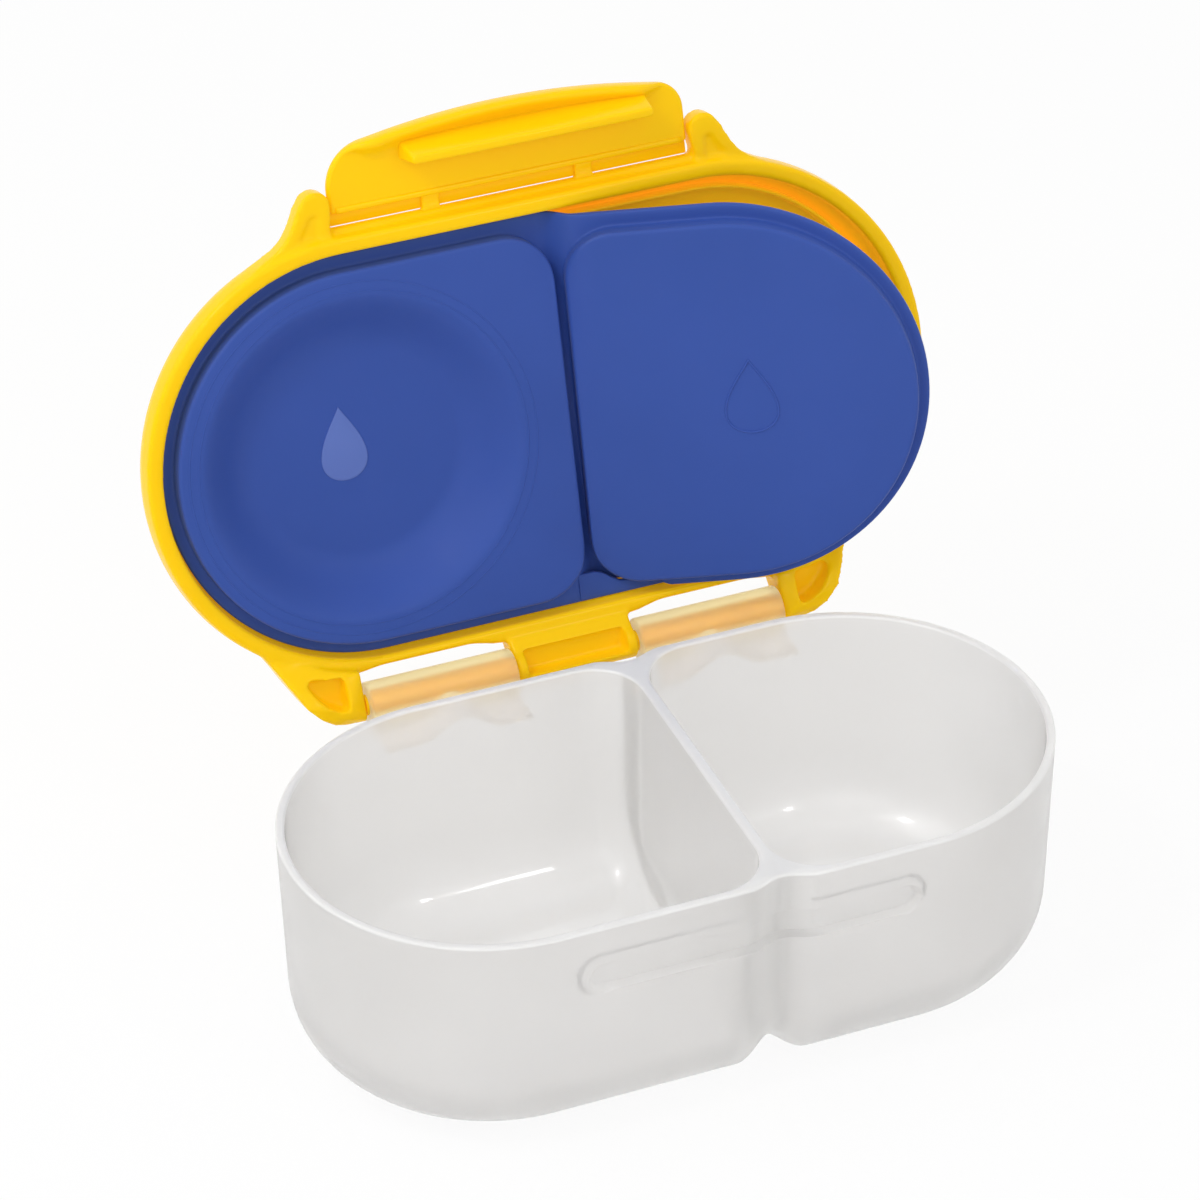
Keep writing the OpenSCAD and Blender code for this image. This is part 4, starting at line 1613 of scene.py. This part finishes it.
    def make(self) -> None:
        """Builds and dresses the seal, its drops and its beads."""
        shell = Shell()
        for side in Side:
            self.half(shell, side)
        body = shell.build("seal_moulding", self.place, sharp_deg=60.0, inner=self.inside)
        BLUE.dress(body, Slot.SEAL)
        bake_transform(body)
        stand_for(body, "seal_bowl_side", "seal_flat_side")
        seat(PALE_BLUE.dress(self.pale_drop(), Slot.SEAL), Body.LID)
        seat(BLUE.dress(self.kept_flange(), Slot.SEAL), Body.LID)
        turn, level = full_turn(180), self.pad_face_z - 0.02
        circles = [
            columns(self.dish_x + r * np.cos(turn), r * np.sin(turn), level) for r in (38.2, 40.4)
        ]
        rim = BEADS.lay("seal_dish_beads", circles, 0.16, 0.06, BLUE, self.place)
        seat(BLUE.dress(rim, Slot.SEAL), Body.LID)
        line = at_height(self.drop((48.6, -1.3), 11.8, 17.6), level)
        mark = BEADS.lay("seal_drop_outline", [line], 0.26, 0.22, BLUE, self.place)
        seat(BLUE.dress(mark, Slot.SEAL), Body.FLAP)


# ---------------------------------------------------------------- studio


@dataclass
class Studio:
    """Floor, lamps, world and camera; places are in metres except the camera's.

    Attributes:
        lamps: Name, place, size and power of each soft lamp.
        aim: Where the lamps look, the middle of the box.
        axes: The camera's right, up and back.
    """

    camera_at: tuple[float, float, float] = (-345.22, -836.41, 722.58)
    lens: float = 155.04
    axes: tuple[tuple[float, float, float], ...] = (
        (0.92768, -0.37322, -0.01056), (0.21906, 0.52117, 0.82486), (-0.30235, -0.76752, 0.56524),
    )
    floor_half: float = 3.0
    aim: tuple[float, float, float] = (0.0, 0.03, 0.07)
    lamps: tuple[tuple[str, tuple[float, float, float], float, float], ...] = (
        ("lamp_above", (-0.7, 0.1, 0.9), 0.9, 3.0),
        ("lamp_window", (-0.47, -0.10, 0.82), 0.09, 0.8),
        ("lamp_strip", (0.25, -0.58, 0.64), 0.07, 0.36),
        ("lamp_front", (-0.6, -1.1, 0.9), 1.0, 2.0),
    )

    def floor(self) -> None:
        """Plain pale floor that keeps the object's shadow."""
        mesh = bpy.data.meshes.new("floor")
        half = self.floor_half
        mesh.from_pydata(
            [(-half, -half, 0), (half, -half, 0), (half, half, 0), (-half, half, 0)],
            [], [(0, 1, 2, 3)],
        )
        floor = added("floor", mesh)
        paint = bpy.data.materials.new("studio_floor")
        paint.use_nodes = True
        tree = paint.node_tree
        shader = tree.nodes["Principled BSDF"]
        shader.inputs["Base Color"].default_value = (0.9, 0.9, 0.9, 1)
        shader.inputs["Roughness"].default_value = 0.9
        shader.inputs["Specular IOR Level"].default_value = 0.1
        white = add_node(tree, "ShaderNodeEmission", Color=(1, 1, 1, 1), Strength=1.0)
        self._whitened(tree, 0.9, shader, white, tree.nodes["Material Output"])
        mesh.materials.append(paint)

    @staticmethod
    def _whitened(tree: NodeTree, share: float, lit: Node, white: Node, out: Node) -> None:
        """Mixes plain white into what the camera, gloss and glass look at.

        Args:
            tree: The node tree.
            share: How much of the white they see.
            lit: The shader that everything else sees.
            white: The plain white.
            out: The tree's output.
        """
        path = add_node(tree, "ShaderNodeLightPath").outputs
        total = path["Is Camera Ray"]
        for kind in ("Is Glossy Ray", "Is Transmission Ray"):
            either = tree.nodes.new("ShaderNodeMath")
            either.operation = "MAXIMUM"
            tree.links.new(total, either.inputs[0])
            tree.links.new(path[kind], either.inputs[1])
            total = either.outputs[0]
        scaled = tree.nodes.new("ShaderNodeMath")
        scaled.operation = "MULTIPLY"
        tree.links.new(total, scaled.inputs[0])
        scaled.inputs[1].default_value = share
        mix = add_node(tree, "ShaderNodeMixShader", Fac=scaled)
        tree.links.new(lit.outputs[0], mix.inputs[1])
        tree.links.new(white.outputs[0], mix.inputs[2])
        tree.links.new(mix.outputs[0], out.inputs["Surface"])

    def world(self) -> None:
        """Soft light from all round, and plain white behind."""
        world = bpy.data.worlds.new("studio")
        bpy.context.scene.world = world
        world.use_nodes = True
        tree = world.node_tree
        tree.nodes.clear()
        light, white = (
            add_node(tree, "ShaderNodeBackground", Color=(1, 1, 1, 1), Strength=strength)
            for strength in (0.75, 1.0)
        )
        self._whitened(tree, 1.0, light, white, tree.nodes.new("ShaderNodeOutputWorld"))

    def lamp(self, name: str, at: Sequence[float], size: float, power: float) -> None:
        """A square soft lamp that looks at the middle of the box."""
        data = bpy.data.lights.new(name, "AREA")
        data.size = size
        data.energy = power
        lamp = added(name, data)
        lamp.location = at
        way = Vector(self.aim) - Vector(at)
        lamp.rotation_euler = way.to_track_quat("-Z", "Y").to_euler()

    def camera(self) -> None:
        """Camera at the photograph's viewing angle, for a square picture."""
        data = bpy.data.cameras.new("camera")
        data.sensor_width = 36.0
        data.lens = self.lens
        data.clip_end = 20.0
        cam = added("camera", data)
        place = Matrix(self.axes).transposed().to_4x4()
        place.translation = Vector(self.camera_at) * MM
        cam.matrix_world = place
        bpy.context.scene.camera = cam

    def make(self) -> None:
        """Sets up everything that isn't the object."""
        self.floor()
        self.world()
        for lamp in self.lamps:
            self.lamp(*lamp)
        self.camera()
        bpy.context.scene.view_settings.view_transform = "Standard"


def main() -> None:
    """Loads the frame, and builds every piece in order."""
    logging.basicConfig(level=logging.INFO, format="%(message)s")
    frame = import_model()
    Studio().make()
    Tub().make()
    Lid().make()
    Latch().make()
    Seal().make()
    for node in ("hinge_pin_left", "hinge_pin_right"):
        YELLOW.dress(frame["nodes"][node], Slot.LID)


if __name__ == "__main__":
    main()
